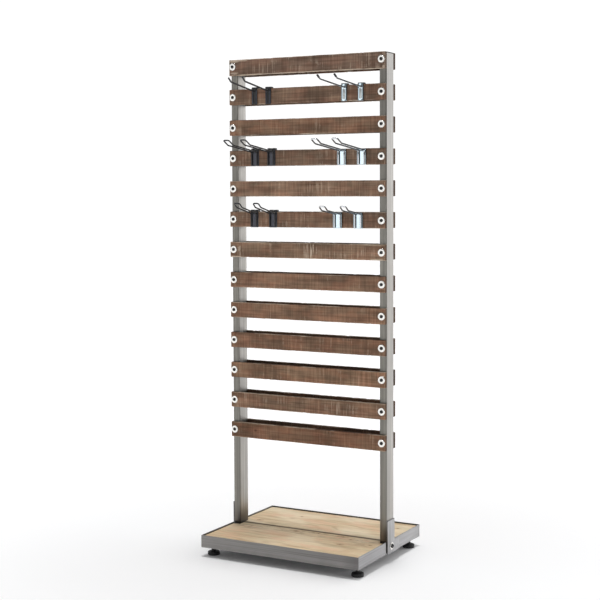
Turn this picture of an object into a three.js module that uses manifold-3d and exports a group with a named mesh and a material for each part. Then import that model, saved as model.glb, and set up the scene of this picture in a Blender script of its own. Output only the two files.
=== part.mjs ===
// Free-standing slatted display stand: two rectangular steel uprights on a low
// steel-angle base with timber boards, thirteen wooden slats bolted across the
// front and thirteen across the back, and twelve hooks that ride on the front
// slats. Millimetres, +Z up, origin on the floor under the middle of the stand.

import * as THREE from 'three';
import { mergeVertices } from 'three/addons/utils/BufferGeometryUtils.js';
import Module from 'manifold-3d';

const wasm = await Module();
wasm.setup();

// ---------------------------------------------------------------- dimensions
const GAP = 0.3;                 // working gap between pieces that touch

const HALF_W = 283;              // outer face of uprights and side rails
const HALF_D = 228;              // outer face of front and back rails

const RAIL_Z0 = 30;              // underside of the base angle
const RAIL_H = 40;               // leg of the 40 x 40 x 3 angle
const RAIL_T = 3;
const RAIL_FLANGE = 40;
const RAIL_TOP = RAIL_Z0 + RAIL_H;
const RAIL_SEAT = RAIL_Z0 + RAIL_T;
const NOTCH_FRONT = 7.5;         // open gap left in front of each upright

const UP_W = 25, UP_D = 50, UP_T = 2;   // rectangular tube 25 x 50 x 2
const UP_Z0 = RAIL_SEAT + GAP;
const UP_TOP = 1605.5;
const CAP_T = 2.7;               // visible edge of the push-in end cap
const UP_X = HALF_W - UP_W / 2;  // centre of an upright

const SLAT_N = 13;
const SLAT_PITCH = 100;
const SLAT_Z_LOW = 385.7;        // bolt line of the lowest slat
const SLAT_H = 51;
const SLAT_T = 12.4;
const SLAT_Y = UP_D / 2 + GAP;   // inner face of a slat
const SLAT_FACE = SLAT_Y + SLAT_T;
const TOP_SLAT_UP = 22.8;        // the top slat sits a little lower on its bolts
const TOP_SLAT_DOWN = 29.7;

const BOLT_R = 3.9, HOLE_R = 5;
const WASHER_R = 12, WASHER_T = 1.6;
const HEAD_R = 7, HEAD_T = 4.4;

const BOARD_TOP = 66;
const BOARD_Z0 = RAIL_SEAT + GAP;
const BOARD_SEAM = 0.5;          // half of the gap between the two boards

const PLATE_T = 3, PLATE_TOP = 137, PLATE_TAIL = 60;
const PLATE_BOLT_Y = 3, PLATE_BOLT_Z = 52;

const FOOT_X = 261, FOOT_Y = 188;
const FOOT_R = 20;

// hooks: [name, kind, slat number from the top, centre X]
const SINGLE_W = 21, LOOP_W_BLACK = 27, LOOP_W_CHROME = 31;
const WIRE_R = 2.5, SINGLE_WIRE_R = 2.8;
const LOOP_HALF = 10;            // half spacing of the two wires of a loop
const EAR_W_BLACK = 11, EAR_W_CHROME = 12.5;   // each loop clip has two returns with a slit between
const HOOKS = [
  ['hook_single_black_1', 'single_black', 2, -185.6],
  ['hook_single_black_2', 'single_black', 2, -134.3],
  ['hook_single_chrome_1', 'single_chrome', 2, 141.6],
  ['hook_single_chrome_2', 'single_chrome', 2, 199.8],
  ['hook_long_black_1', 'long_black', 4, -185.8],
  ['hook_long_black_2', 'long_black', 4, -124.5],
  ['hook_long_chrome_1', 'long_chrome', 4, 133.4],
  ['hook_long_chrome_2', 'long_chrome', 4, 203.5],
  ['hook_short_black_1', 'short_black', 6, -189.3],
  ['hook_short_black_2', 'short_black', 6, -118.9],
  ['hook_short_chrome_1', 'short_chrome', 6, 118.2],
  ['hook_short_chrome_2', 'short_chrome', 6, 190.7],
];

// ------------------------------------------------------------------- helpers
function solid(geometry) {
  const g = geometry.clone();
  g.deleteAttribute('normal');
  g.deleteAttribute('uv');
  const m = mergeVertices(g, 1e-4);
  const index = m.index.array;
  const pos = m.attributes.position.array;
  return new wasm.Manifold(new wasm.Mesh({
    numProp: 3,
    vertProperties: new Float32Array(pos),
    triVerts: new Uint32Array(index),
  }));
}

function geometryOf(man) {
  const mesh = man.getMesh();
  const g = new THREE.BufferGeometry();
  g.setAttribute('position', new THREE.BufferAttribute(new Float32Array(mesh.vertProperties), 3));
  g.setIndex(new THREE.BufferAttribute(new Uint32Array(mesh.triVerts), 1));
  g.computeVertexNormals();
  return g;
}

function box(x0, x1, y0, y1, z0, z1) {
  const g = new THREE.BoxGeometry(x1 - x0, y1 - y0, z1 - z0);
  g.translate((x0 + x1) / 2, (y0 + y1) / 2, (z0 + z1) / 2);
  return solid(g);
}

// round bar along Y, X or Z between two stations
function barY(x, z, r, y0, y1, sides) {
  const g = new THREE.CylinderGeometry(r, r, y1 - y0, sides);
  g.translate(x, (y0 + y1) / 2, z);
  return solid(g);
}
function barX(y, z, r, x0, x1, sides) {
  const g = new THREE.CylinderGeometry(r, r, x1 - x0, sides);
  g.rotateZ(Math.PI / 2);
  g.translate((x0 + x1) / 2, y, z);
  return solid(g);
}
function barZ(x, y, r, z0, z1, sides) {
  const g = new THREE.CylinderGeometry(r, r, z1 - z0, sides);
  g.rotateX(Math.PI / 2);
  g.translate(x, y, (z0 + z1) / 2);
  return solid(g);
}

// profile given as [y, z] pairs, extruded along X
function profileX(points, x0, x1) {
  const s = new THREE.Shape(points.map(([y, z]) => new THREE.Vector2(y, z)));
  const g = new THREE.ExtrudeGeometry(s, { depth: x1 - x0, bevelEnabled: false });
  const m = new THREE.Matrix4().makeBasis(
    new THREE.Vector3(0, 1, 0), new THREE.Vector3(0, 0, 1), new THREE.Vector3(1, 0, 0));
  g.applyMatrix4(m);
  g.translate(x0, 0, 0);
  return solid(g);
}

// wire path that is sampled exactly at its own corners
class WirePath extends THREE.Curve {
  constructor(points) { super(); this.points = points; }
  getPoint(t, target = new THREE.Vector3()) {
    const n = this.points.length - 1;
    const f = Math.min(Math.max(t, 0), 1) * n;
    const i = Math.min(Math.floor(f), n - 1);
    return target.copy(this.points[i]).lerp(this.points[i + 1], f - i);
  }
  getPointAt(u, target) { return this.getPoint(u, target); }
  getSpacedPoints() { return this.points.map((p) => p.clone()); }
  getTangentAt(u, target = new THREE.Vector3()) {
    const n = this.points.length - 1;
    const i = Math.round(u * n);
    const out = new THREE.Vector3();
    if (i > 0) out.add(this.points[i].clone().sub(this.points[i - 1]).normalize());
    if (i < n) out.add(this.points[i + 1].clone().sub(this.points[i]).normalize());
    return target.copy(out.normalize());
  }
}

function wire(points, r, sides = 6) {
  const ring = [];
  for (let i = 0; i < sides; i++) {
    const a = (i / sides) * Math.PI * 2;
    ring.push(new THREE.Vector2(Math.cos(a) * r, Math.sin(a) * r));
  }
  const g = new THREE.ExtrudeGeometry(new THREE.Shape(ring), {
    steps: points.length - 1,
    extrudePath: new WirePath(points.map((p) => new THREE.Vector3(...p))),
    bevelEnabled: false,
  });
  let m = solid(g);
  if (m.volume() < 0) {
    const idx = g.index;
    if (idx) {
      const a = idx.array;
      for (let i = 0; i < a.length; i += 3) { const k = a[i]; a[i] = a[i + 1]; a[i + 1] = k; }
    }
    m = solid(g);
  }
  return m;
}

// ----------------------------------------------------------------- materials
const FINISH = {
  slat: { color: 0x6b5448, roughness: 0.85, metalness: 0.0 },
  board: { color: 0xc9b090, roughness: 0.8, metalness: 0.0 },
  steel: { color: 0xa8a5a2, roughness: 0.45, metalness: 0.9 },
  zinc: { color: 0xd9d9d6, roughness: 0.3, metalness: 0.95 },
  black_wire: { color: 0x18181a, roughness: 0.5, metalness: 0.1 },
  chrome: { color: 0xdfe2e6, roughness: 0.12, metalness: 1.0 },
  plastic: { color: 0x101012, roughness: 0.55, metalness: 0.0 },
};

const group = new THREE.Group();
function add(name, man, finish) {
  const mesh = new THREE.Mesh(geometryOf(man), new THREE.MeshStandardMaterial(FINISH[finish]));
  mesh.name = name;
  group.add(mesh);
}

// --------------------------------------------------------------------- slats
const slatZ = (n) => SLAT_Z_LOW + SLAT_PITCH * (SLAT_N - n);   // n = 1 at the top
const slatTop = (n) => slatZ(n) + (n === 1 ? TOP_SLAT_UP : SLAT_H / 2);
const slatBottom = (n) => slatZ(n) - (n === 1 ? TOP_SLAT_DOWN : SLAT_H / 2);

for (const [side, sign] of [['front', -1], ['back', 1]]) {
  for (let n = 1; n <= SLAT_N; n++) {
    const y0 = sign < 0 ? -SLAT_FACE : SLAT_Y;
    const y1 = sign < 0 ? -SLAT_Y : SLAT_FACE;
    let s = box(-HALF_W, HALF_W, y0, y1, slatBottom(n), slatTop(n));
    for (const x of [-UP_X, UP_X]) s = s.subtract(barY(x, slatZ(n), HOLE_R, y0 - 2, y1 + 2, 8));
    add(`slat_${side}_${String(n).padStart(2, '0')}`, s, 'slat');
  }
}

// ---------------------------------------------- uprights, end caps and bolts
for (const [side, sx] of [['left', -1], ['right', 1]]) {
  const xa = sx * UP_X - UP_W / 2, xb = sx * UP_X + UP_W / 2;
  let tube = box(xa, xb, -UP_D / 2, UP_D / 2, UP_Z0, UP_TOP)
    .subtract(box(xa + UP_T, xb - UP_T, -UP_D / 2 + UP_T, UP_D / 2 - UP_T, UP_Z0 - 5, UP_TOP + 5));
  for (let n = 1; n <= SLAT_N; n++) {
    tube = tube.subtract(barY(sx * UP_X, slatZ(n), HOLE_R, -UP_D / 2 - 2, UP_D / 2 + 2, 8));
  }
  // hole in the outer wall for the bolt of the joining plate
  const wx0 = sx > 0 ? xb - UP_T - 3 : xa - 3;
  tube = tube.subtract(barX(PLATE_BOLT_Y, PLATE_BOLT_Z, HOLE_R, wx0, wx0 + UP_T + 6, 8));
  add(`upright_${side}`, tube, 'steel');

  // push-in end cap, its top flush with the top slat
  const inset = UP_T + GAP;
  const cap = box(xa, xb, -UP_D / 2, UP_D / 2, UP_TOP + GAP, UP_TOP + GAP + CAP_T)
    .add(box(xa + inset, xb - inset, -UP_D / 2 + inset, UP_D / 2 - inset, UP_TOP - 8, UP_TOP + GAP + 1));
  add(`end_cap_${side}`, cap, 'plastic');

  // through-bolts with a washer and a round head at each end, carried on a
  // slim tie that runs down inside the tube
  const y1 = SLAT_FACE + GAP;
  let bolts = box(sx * UP_X - 1, sx * UP_X + 1, -1.2, 1.2, slatZ(SLAT_N) - 1, slatZ(1) + 1);
  for (let n = 1; n <= SLAT_N; n++) {
    const z = slatZ(n);
    bolts = bolts.add(barY(sx * UP_X, z, BOLT_R, -y1 - WASHER_T, y1 + WASHER_T, 6));
    for (const s of [-1, 1]) {
      const w = [s * y1, s * (y1 + WASHER_T)].sort((a, b) => a - b);
      const h = [s * (y1 + WASHER_T - 0.2), s * (y1 + WASHER_T + HEAD_T)].sort((a, b) => a - b);
      bolts = bolts.add(barY(sx * UP_X, z, WASHER_R, w[0], w[1], 10));
      bolts = bolts.add(barY(sx * UP_X, z, HEAD_R, h[0], h[1], 6));
    }
  }
  add(`slat_bolts_${side}`, bolts, 'zinc');
}

// ---------------------------------------------------------------- base frame
for (const [side, sy] of [['front', -1], ['back', 1]]) {
  const yo = sy * HALF_D, yi = sy * (HALF_D - RAIL_T), yf = sy * (HALF_D - RAIL_FLANGE);
  const leg = box(-HALF_W, HALF_W, Math.min(yo, yi), Math.max(yo, yi), RAIL_Z0, RAIL_TOP);
  const fx = HALF_W - RAIL_FLANGE - GAP;
  const flange = box(-fx, fx, Math.min(yo, yf), Math.max(yo, yf), RAIL_Z0, RAIL_SEAT);
  add(`base_rail_${side}`, leg.add(flange), 'steel');
}
for (const [side, sx] of [['left', -1], ['right', 1]]) {
  const xo = sx * HALF_W, xi = sx * (HALF_W - RAIL_T), xf = sx * (HALF_W - RAIL_FLANGE);
  const ye = HALF_D - RAIL_T - GAP;
  let rail = box(Math.min(xo, xi), Math.max(xo, xi), -ye, ye, RAIL_Z0, RAIL_TOP)
    .add(box(Math.min(xo, xf), Math.max(xo, xf), -ye, ye, RAIL_Z0, RAIL_SEAT));
  // notch that lets the upright stand on the flange, flush with the rail
  const na = sx > 0 ? HALF_W - RAIL_T : -HALF_W - 2;
  rail = rail.subtract(box(na, na + RAIL_T + 2, -UP_D / 2 - NOTCH_FRONT, UP_D / 2 + 0.6, RAIL_Z0 - 2, RAIL_TOP + 2));
  for (const sy of [-1, 1]) {
    rail = rail.subtract(barZ(sx * FOOT_X, sy * FOOT_Y, 5.2, RAIL_Z0 - 2, RAIL_SEAT + 2, 8));
  }
  add(`base_rail_${side}`, rail, 'steel');

  // joining plate: stands on the outer face of the upright and laps back over
  // the side rail
  const px = sx > 0 ? HALF_W + GAP : -HALF_W - GAP - PLATE_T;
  let plate = profileX([
    [-UP_D / 2, RAIL_Z0], [PLATE_TAIL, RAIL_Z0], [PLATE_TAIL, RAIL_TOP - 2],
    [UP_D / 2, RAIL_TOP - 2], [UP_D / 2, PLATE_TOP], [-UP_D / 2, PLATE_TOP]], px, px + PLATE_T);
  plate = plate.subtract(barX(PLATE_BOLT_Y, PLATE_BOLT_Z, HOLE_R, px - 2, px + PLATE_T + 2, 8));
  add(`joining_plate_${side}`, plate, 'steel');

  const face = HALF_W + GAP + PLATE_T + GAP;
  const span = (a, b) => (sx > 0 ? [a, b] : [-b, -a]);
  const shaft = span(HALF_W - 12, face + 2), wash = span(face, face + WASHER_T);
  const head = span(face + WASHER_T - 0.2, face + WASHER_T + HEAD_T);
  const nut = span(HALF_W - 12, HALF_W - UP_T - GAP);
  add(`plate_bolt_${side}`, barX(PLATE_BOLT_Y, PLATE_BOLT_Z, BOLT_R, shaft[0], shaft[1], 8)
    .add(barX(PLATE_BOLT_Y, PLATE_BOLT_Z, WASHER_R, wash[0], wash[1], 16))
    .add(barX(PLATE_BOLT_Y, PLATE_BOLT_Z, HEAD_R, head[0], head[1], 12))
    .add(barX(PLATE_BOLT_Y, PLATE_BOLT_Z, 6.5, nut[0], nut[1], 6)), 'zinc');
}

// -------------------------------------------------------------- base boards
for (const [side, sy] of [['front', -1], ['back', 1]]) {
  const bx = HALF_W - RAIL_T - GAP, by = HALF_D - RAIL_T - GAP;
  const ya = sy < 0 ? -by : BOARD_SEAM, yb = sy < 0 ? -BOARD_SEAM : by;
  let board = box(-bx, bx, ya, yb, BOARD_Z0, BOARD_TOP);
  for (const sx of [-1, 1]) {
    const xa = sx > 0 ? HALF_W - UP_W - 0.8 : -HALF_W - 2;
    board = board.subtract(box(xa, xa + UP_W + 2.8, -UP_D / 2 - NOTCH_FRONT, UP_D / 2 + 0.8, BOARD_Z0 - 2, BOARD_TOP + 2));
    board = board.subtract(barZ(sx * FOOT_X, sy * FOOT_Y, 8, BOARD_Z0 - 2, 47, 8));
  }
  add(`base_board_${side}`, board, 'board');
}

// ------------------------------------------------------------ levelling feet
for (const [name, sx, sy] of [['front_left', -1, -1], ['front_right', 1, -1], ['back_left', -1, 1], ['back_right', 1, 1]]) {
  const profile = [[0, 0], [FOOT_R - 1.5, 0], [FOOT_R, 2], [FOOT_R, 8.5], [FOOT_R - 2.5, 12], [8, 13.5],
    [8, 17], [4, 17], [4, 44], [0, 44]].map(([r, z]) => new THREE.Vector2(r, z));
  const g = new THREE.LatheGeometry(profile, 14);
  g.rotateX(Math.PI / 2);
  g.translate(sx * FOOT_X, sy * FOOT_Y, 0);
  add(`foot_${name}`, solid(g), 'plastic');
}

// --------------------------------------------------------------------- hooks
// Each clip has a face plate on the front of the slat, a return over its top
// edge and a short leg down behind it.
const HOOK_Y = -(SLAT_FACE + GAP);       // back of the face plate
const CLIP_PLATE_T = 2.5, CLIP_TOP_T = 4.4, CLIP_LEG_T = 4, CLIP_LEG = 24;

function clipReturn(n, x0, x1) {
  const zt = slatTop(n) + GAP, yb = -SLAT_Y + GAP;
  return profileX([
    [HOOK_Y - CLIP_PLATE_T, zt - 12], [HOOK_Y, zt - 12], [HOOK_Y, zt], [yb, zt], [yb, zt - CLIP_LEG],
    [yb + CLIP_LEG_T, zt - CLIP_LEG], [yb + CLIP_LEG_T, zt + CLIP_TOP_T - 1.5], [yb + CLIP_LEG_T - 1.5, zt + CLIP_TOP_T],
    [HOOK_Y - CLIP_PLATE_T + 1.5, zt + CLIP_TOP_T], [HOOK_Y - CLIP_PLATE_T, zt + CLIP_TOP_T - 1.5]], x0, x1);
}

for (const [name, kind, n, x] of HOOKS) {
  const top = slatTop(n), bottom = slatBottom(n);
  const chrome = kind.endsWith('chrome');
  const finish = chrome ? 'chrome' : 'black_wire';
  const yPlate = HOOK_Y - CLIP_PLATE_T;
  if (kind.startsWith('single')) {
    let h = profileX([[yPlate, bottom - 0.5], [HOOK_Y, bottom - 0.5], [HOOK_Y, top], [yPlate, top]],
      x - SINGLE_W / 2, x + SINGLE_W / 2).add(clipReturn(n, x - SINGLE_W / 2, x + SINGLE_W / 2));
    const zs = top - 7.5;
    const bend = chrome ? [-198.5, top + 6.5] : [-184, top + 12];
    const tip = chrome ? [-218.5, top + 18.5] : [-198, top + 23.5];
    const cut = chrome ? 0.42 : 1;         // a chrome prong ends inside its vinyl tip
    const end = [bend[0] + (tip[0] - bend[0]) * cut, bend[1] + (tip[1] - bend[1]) * cut];
    const path = [[x, HOOK_Y - 1, zs], [x, -80, zs + (bend[1] - zs) * 0.24],
      [x, bend[0] + 6, bend[1] - 1.2], [x, bend[0] - 3.5, bend[1] + 2.2], [x, end[0], end[1]]];
    h = h.add(wire(path, SINGLE_WIRE_R, 8));
    add(name, h, finish);
    if (chrome) {
      const dir = new THREE.Vector2(tip[0] - bend[0], tip[1] - bend[1]).normalize();
      const a = [end[0] + dir.x * GAP, end[1] + dir.y * GAP];
      add(name.replace('hook_single_chrome', 'vinyl_tip'),
        wire([[x, a[0], a[1]], [x, tip[0] - dir.x * 1.5, tip[1] - dir.y * 1.5]], SINGLE_WIRE_R + 0.5, 8), 'plastic');
    }
  } else {
    const long = kind.startsWith('long');
    const w = (chrome ? LOOP_W_CHROME : LOOP_W_BLACK) / 2;
    let h = profileX([[yPlate, bottom - 0.5], [HOOK_Y, bottom - 0.5], [HOOK_Y, top - 1], [yPlate, top - 1]], x - w, x + w);
    const ear = chrome ? EAR_W_CHROME : EAR_W_BLACK;
    for (const s of [-1, 1]) {
      const outer = x + s * (w - 0.2);
      h = h.add(clipReturn(n, Math.min(outer, outer - s * ear), Math.max(outer, outer - s * ear)));
    }
    // each wire is welded down the face of the plate, then bends forward
    const zs = top - 6, yw = yPlate - WIRE_R + 0.6;
    const [yb, zb] = long ? (chrome ? [-197.5, top + 11] : [-188, top + 12.3]) : (chrome ? [-128, top + 6] : [-133, top + 15]);
    const [ye, ze] = long ? (chrome ? [-225, top + 25] : [-215.5, top + 27]) : (chrome ? [-146.5, top + 19] : [-148, top + 28]);
    const k = LOOP_HALF;
    const side = (s) => [
      [x + s * k, yw, bottom + 3], [x + s * k, yw, zs - 4.5], [x + s * k, yw - 3.5, zs],
      [x + s * k, yb + 5, zb - 1], [x + s * k, yb - 3, zb + 2],
      [x + s * k, ye + 5, ze - 3.6], [x + s * (k - 3.4), ye, ze]];
    const path = [...side(-1), ...side(1).reverse()];
    h = h.add(wire(path, WIRE_R, 6));
    add(name, h, finish);
  }
}

export default group;
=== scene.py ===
import math

import bmesh
import bpy
from mathutils import Matrix, Vector, noise


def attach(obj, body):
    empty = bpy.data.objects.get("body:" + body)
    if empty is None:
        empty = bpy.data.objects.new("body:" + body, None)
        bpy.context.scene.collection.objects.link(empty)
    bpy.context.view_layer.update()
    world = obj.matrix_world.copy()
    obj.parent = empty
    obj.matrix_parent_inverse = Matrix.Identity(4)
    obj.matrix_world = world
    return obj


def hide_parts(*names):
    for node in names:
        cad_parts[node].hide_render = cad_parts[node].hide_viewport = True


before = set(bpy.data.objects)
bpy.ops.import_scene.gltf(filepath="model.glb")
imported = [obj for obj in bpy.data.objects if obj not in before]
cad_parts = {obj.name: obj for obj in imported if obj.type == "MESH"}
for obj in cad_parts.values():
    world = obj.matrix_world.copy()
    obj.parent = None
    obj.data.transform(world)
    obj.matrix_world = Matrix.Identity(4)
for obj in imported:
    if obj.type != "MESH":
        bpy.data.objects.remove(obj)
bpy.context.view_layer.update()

MM = 0.001

# --------------------------------------------------------------------- sizes
GAP = 0.3
HALF_W, HALF_D = 283.0, 228.0
UP_W, UP_D, UP_T = 25.0, 50.0, 2.0
UP_X = HALF_W - UP_W / 2
UP_Z0, UP_TOP = 33.3, 1605.5
SLAT_T = 12.4
SLAT_Y = UP_D / 2 + GAP
SLAT_FACE = SLAT_Y + SLAT_T
WASHER_R, WASHER_T, HEAD_R, HEAD_T = 12.0, 1.6, 5.5, 3.4


def slat_z(n):
    return 385.7 + 100.0 * (13 - n)


def slat_top(n):
    return slat_z(n) + (22.8 if n == 1 else 25.5)


def slat_bottom(n):
    return slat_z(n) - (29.7 if n == 1 else 25.5)


# ------------------------------------------------------------ shader helpers
def lin(r, g, b):
    out = []
    for c in (r, g, b):
        c = c / 255.0
        out.append(c / 12.92 if c <= 0.04045 else ((c + 0.055) / 1.055) ** 2.4)
    return (out[0], out[1], out[2], 1.0)


class Mat:
    """A node material with short calls for the nodes that the surfaces here need."""

    def __init__(self, name, metallic=0.0, roughness=0.5, **sockets):
        self.m = bpy.data.materials.new(name)
        self.m.use_nodes = True
        self.t = self.m.node_tree
        self.t.nodes.clear()
        self.out = self.t.nodes.new("ShaderNodeOutputMaterial")
        self.b = self.t.nodes.new("ShaderNodeBsdfPrincipled")
        self.t.links.new(self.b.outputs["BSDF"], self.out.inputs["Surface"])
        self.b.inputs["Metallic"].default_value = metallic
        self.b.inputs["Roughness"].default_value = roughness
        for k, v in sockets.items():
            self.b.inputs[k.replace("_", " ")].default_value = v
        self.co = self.t.nodes.new("ShaderNodeTexCoord").outputs["Object"]

    def put(self, socket, value):
        if isinstance(value, bpy.types.NodeSocket):
            self.t.links.new(value, socket)
        else:
            socket.default_value = value

    def mapping(self, vec, loc=(0, 0, 0), scale=(1, 1, 1), rot=(0, 0, 0)):
        n = self.t.nodes.new("ShaderNodeMapping")
        self.put(n.inputs["Vector"], vec)
        n.inputs["Location"].default_value = loc
        n.inputs["Scale"].default_value = scale
        n.inputs["Rotation"].default_value = rot
        return n.outputs["Vector"]

    def noise(self, vec, scale=(1, 1, 1), detail=3.0, rough=0.5, distortion=0.0, loc=(0, 0, 0)):
        n = self.t.nodes.new("ShaderNodeTexNoise")
        self.put(n.inputs["Vector"], self.mapping(vec, loc, scale))
        n.inputs["Scale"].default_value = 1.0
        n.inputs["Detail"].default_value = detail
        n.inputs["Roughness"].default_value = rough
        n.inputs["Distortion"].default_value = distortion
        return n.outputs["Fac"]

    def math(self, op, a, b=0.0, c=None, clamp=False):
        n = self.t.nodes.new("ShaderNodeMath")
        n.operation = op
        n.use_clamp = clamp
        self.put(n.inputs[0], a)
        self.put(n.inputs[1], b)
        if c is not None:
            self.put(n.inputs[2], c)
        return n.outputs[0]

    def sep(self, vec):
        n = self.t.nodes.new("ShaderNodeSeparateXYZ")
        self.put(n.inputs[0], vec)
        return n.outputs[0], n.outputs[1], n.outputs[2]

    def step(self, v, lo, hi, to0=0.0, to1=1.0, smooth=True):
        n = self.t.nodes.new("ShaderNodeMapRange")
        n.interpolation_type = "SMOOTHSTEP" if smooth else "LINEAR"
        n.clamp = True
        self.put(n.inputs["Value"], v)
        n.inputs["From Min"].default_value = lo
        n.inputs["From Max"].default_value = hi
        n.inputs["To Min"].default_value = to0
        n.inputs["To Max"].default_value = to1
        return n.outputs["Result"]

    def mix(self, fac, a, b, mode="MIX"):
        n = self.t.nodes.new("ShaderNodeMix")
        n.data_type = "RGBA"
        n.blend_type = mode
        n.clamp_factor = True
        self.put(n.inputs[0], fac)
        self.put(n.inputs[6], a)
        self.put(n.inputs[7], b)
        return n.outputs[2]

    def ramp(self, fac, stops):
        n = self.t.nodes.new("ShaderNodeValToRGB")
        r = n.color_ramp
        while len(r.elements) > 1:
            r.elements.remove(r.elements[-1])
        r.elements[0].position, r.elements[0].color = stops[0]
        for pos, col in stops[1:]:
            e = r.elements.new(pos)
            e.color = col
        self.put(n.inputs["Fac"], fac)
        return n.outputs["Color"]

    def bump(self, height, strength=0.4, distance=0.0005):
        n = self.t.nodes.new("ShaderNodeBump")
        n.inputs["Strength"].default_value = strength
        n.inputs["Distance"].default_value = distance
        self.put(n.inputs["Height"], height)
        self.t.links.new(n.outputs["Normal"], self.b.inputs["Normal"])

    def colour(self, value):
        self.put(self.b.inputs["Base Color"], value)

    def rough(self, value):
        self.put(self.b.inputs["Roughness"], value)


def blot(M, x, z, px, pz, rx, rz, wobble, soft=(0.55, 1.1)):
    """1 inside an ellipse with a ragged edge, in metres."""
    dx = M.math("DIVIDE", M.math("SUBTRACT", x, px), rx)
    dz = M.math("DIVIDE", M.math("SUBTRACT", z, pz), rz)
    d = M.math("SQRT", M.math("ADD", M.math("MULTIPLY", dx, dx), M.math("MULTIPLY", dz, dz)))
    d = M.math("ADD", d, M.math("MULTIPLY", M.math("SUBTRACT", wobble, 0.5), 1.5))
    return M.step(d, soft[0], soft[1], 1.0, 0.0)


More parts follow.
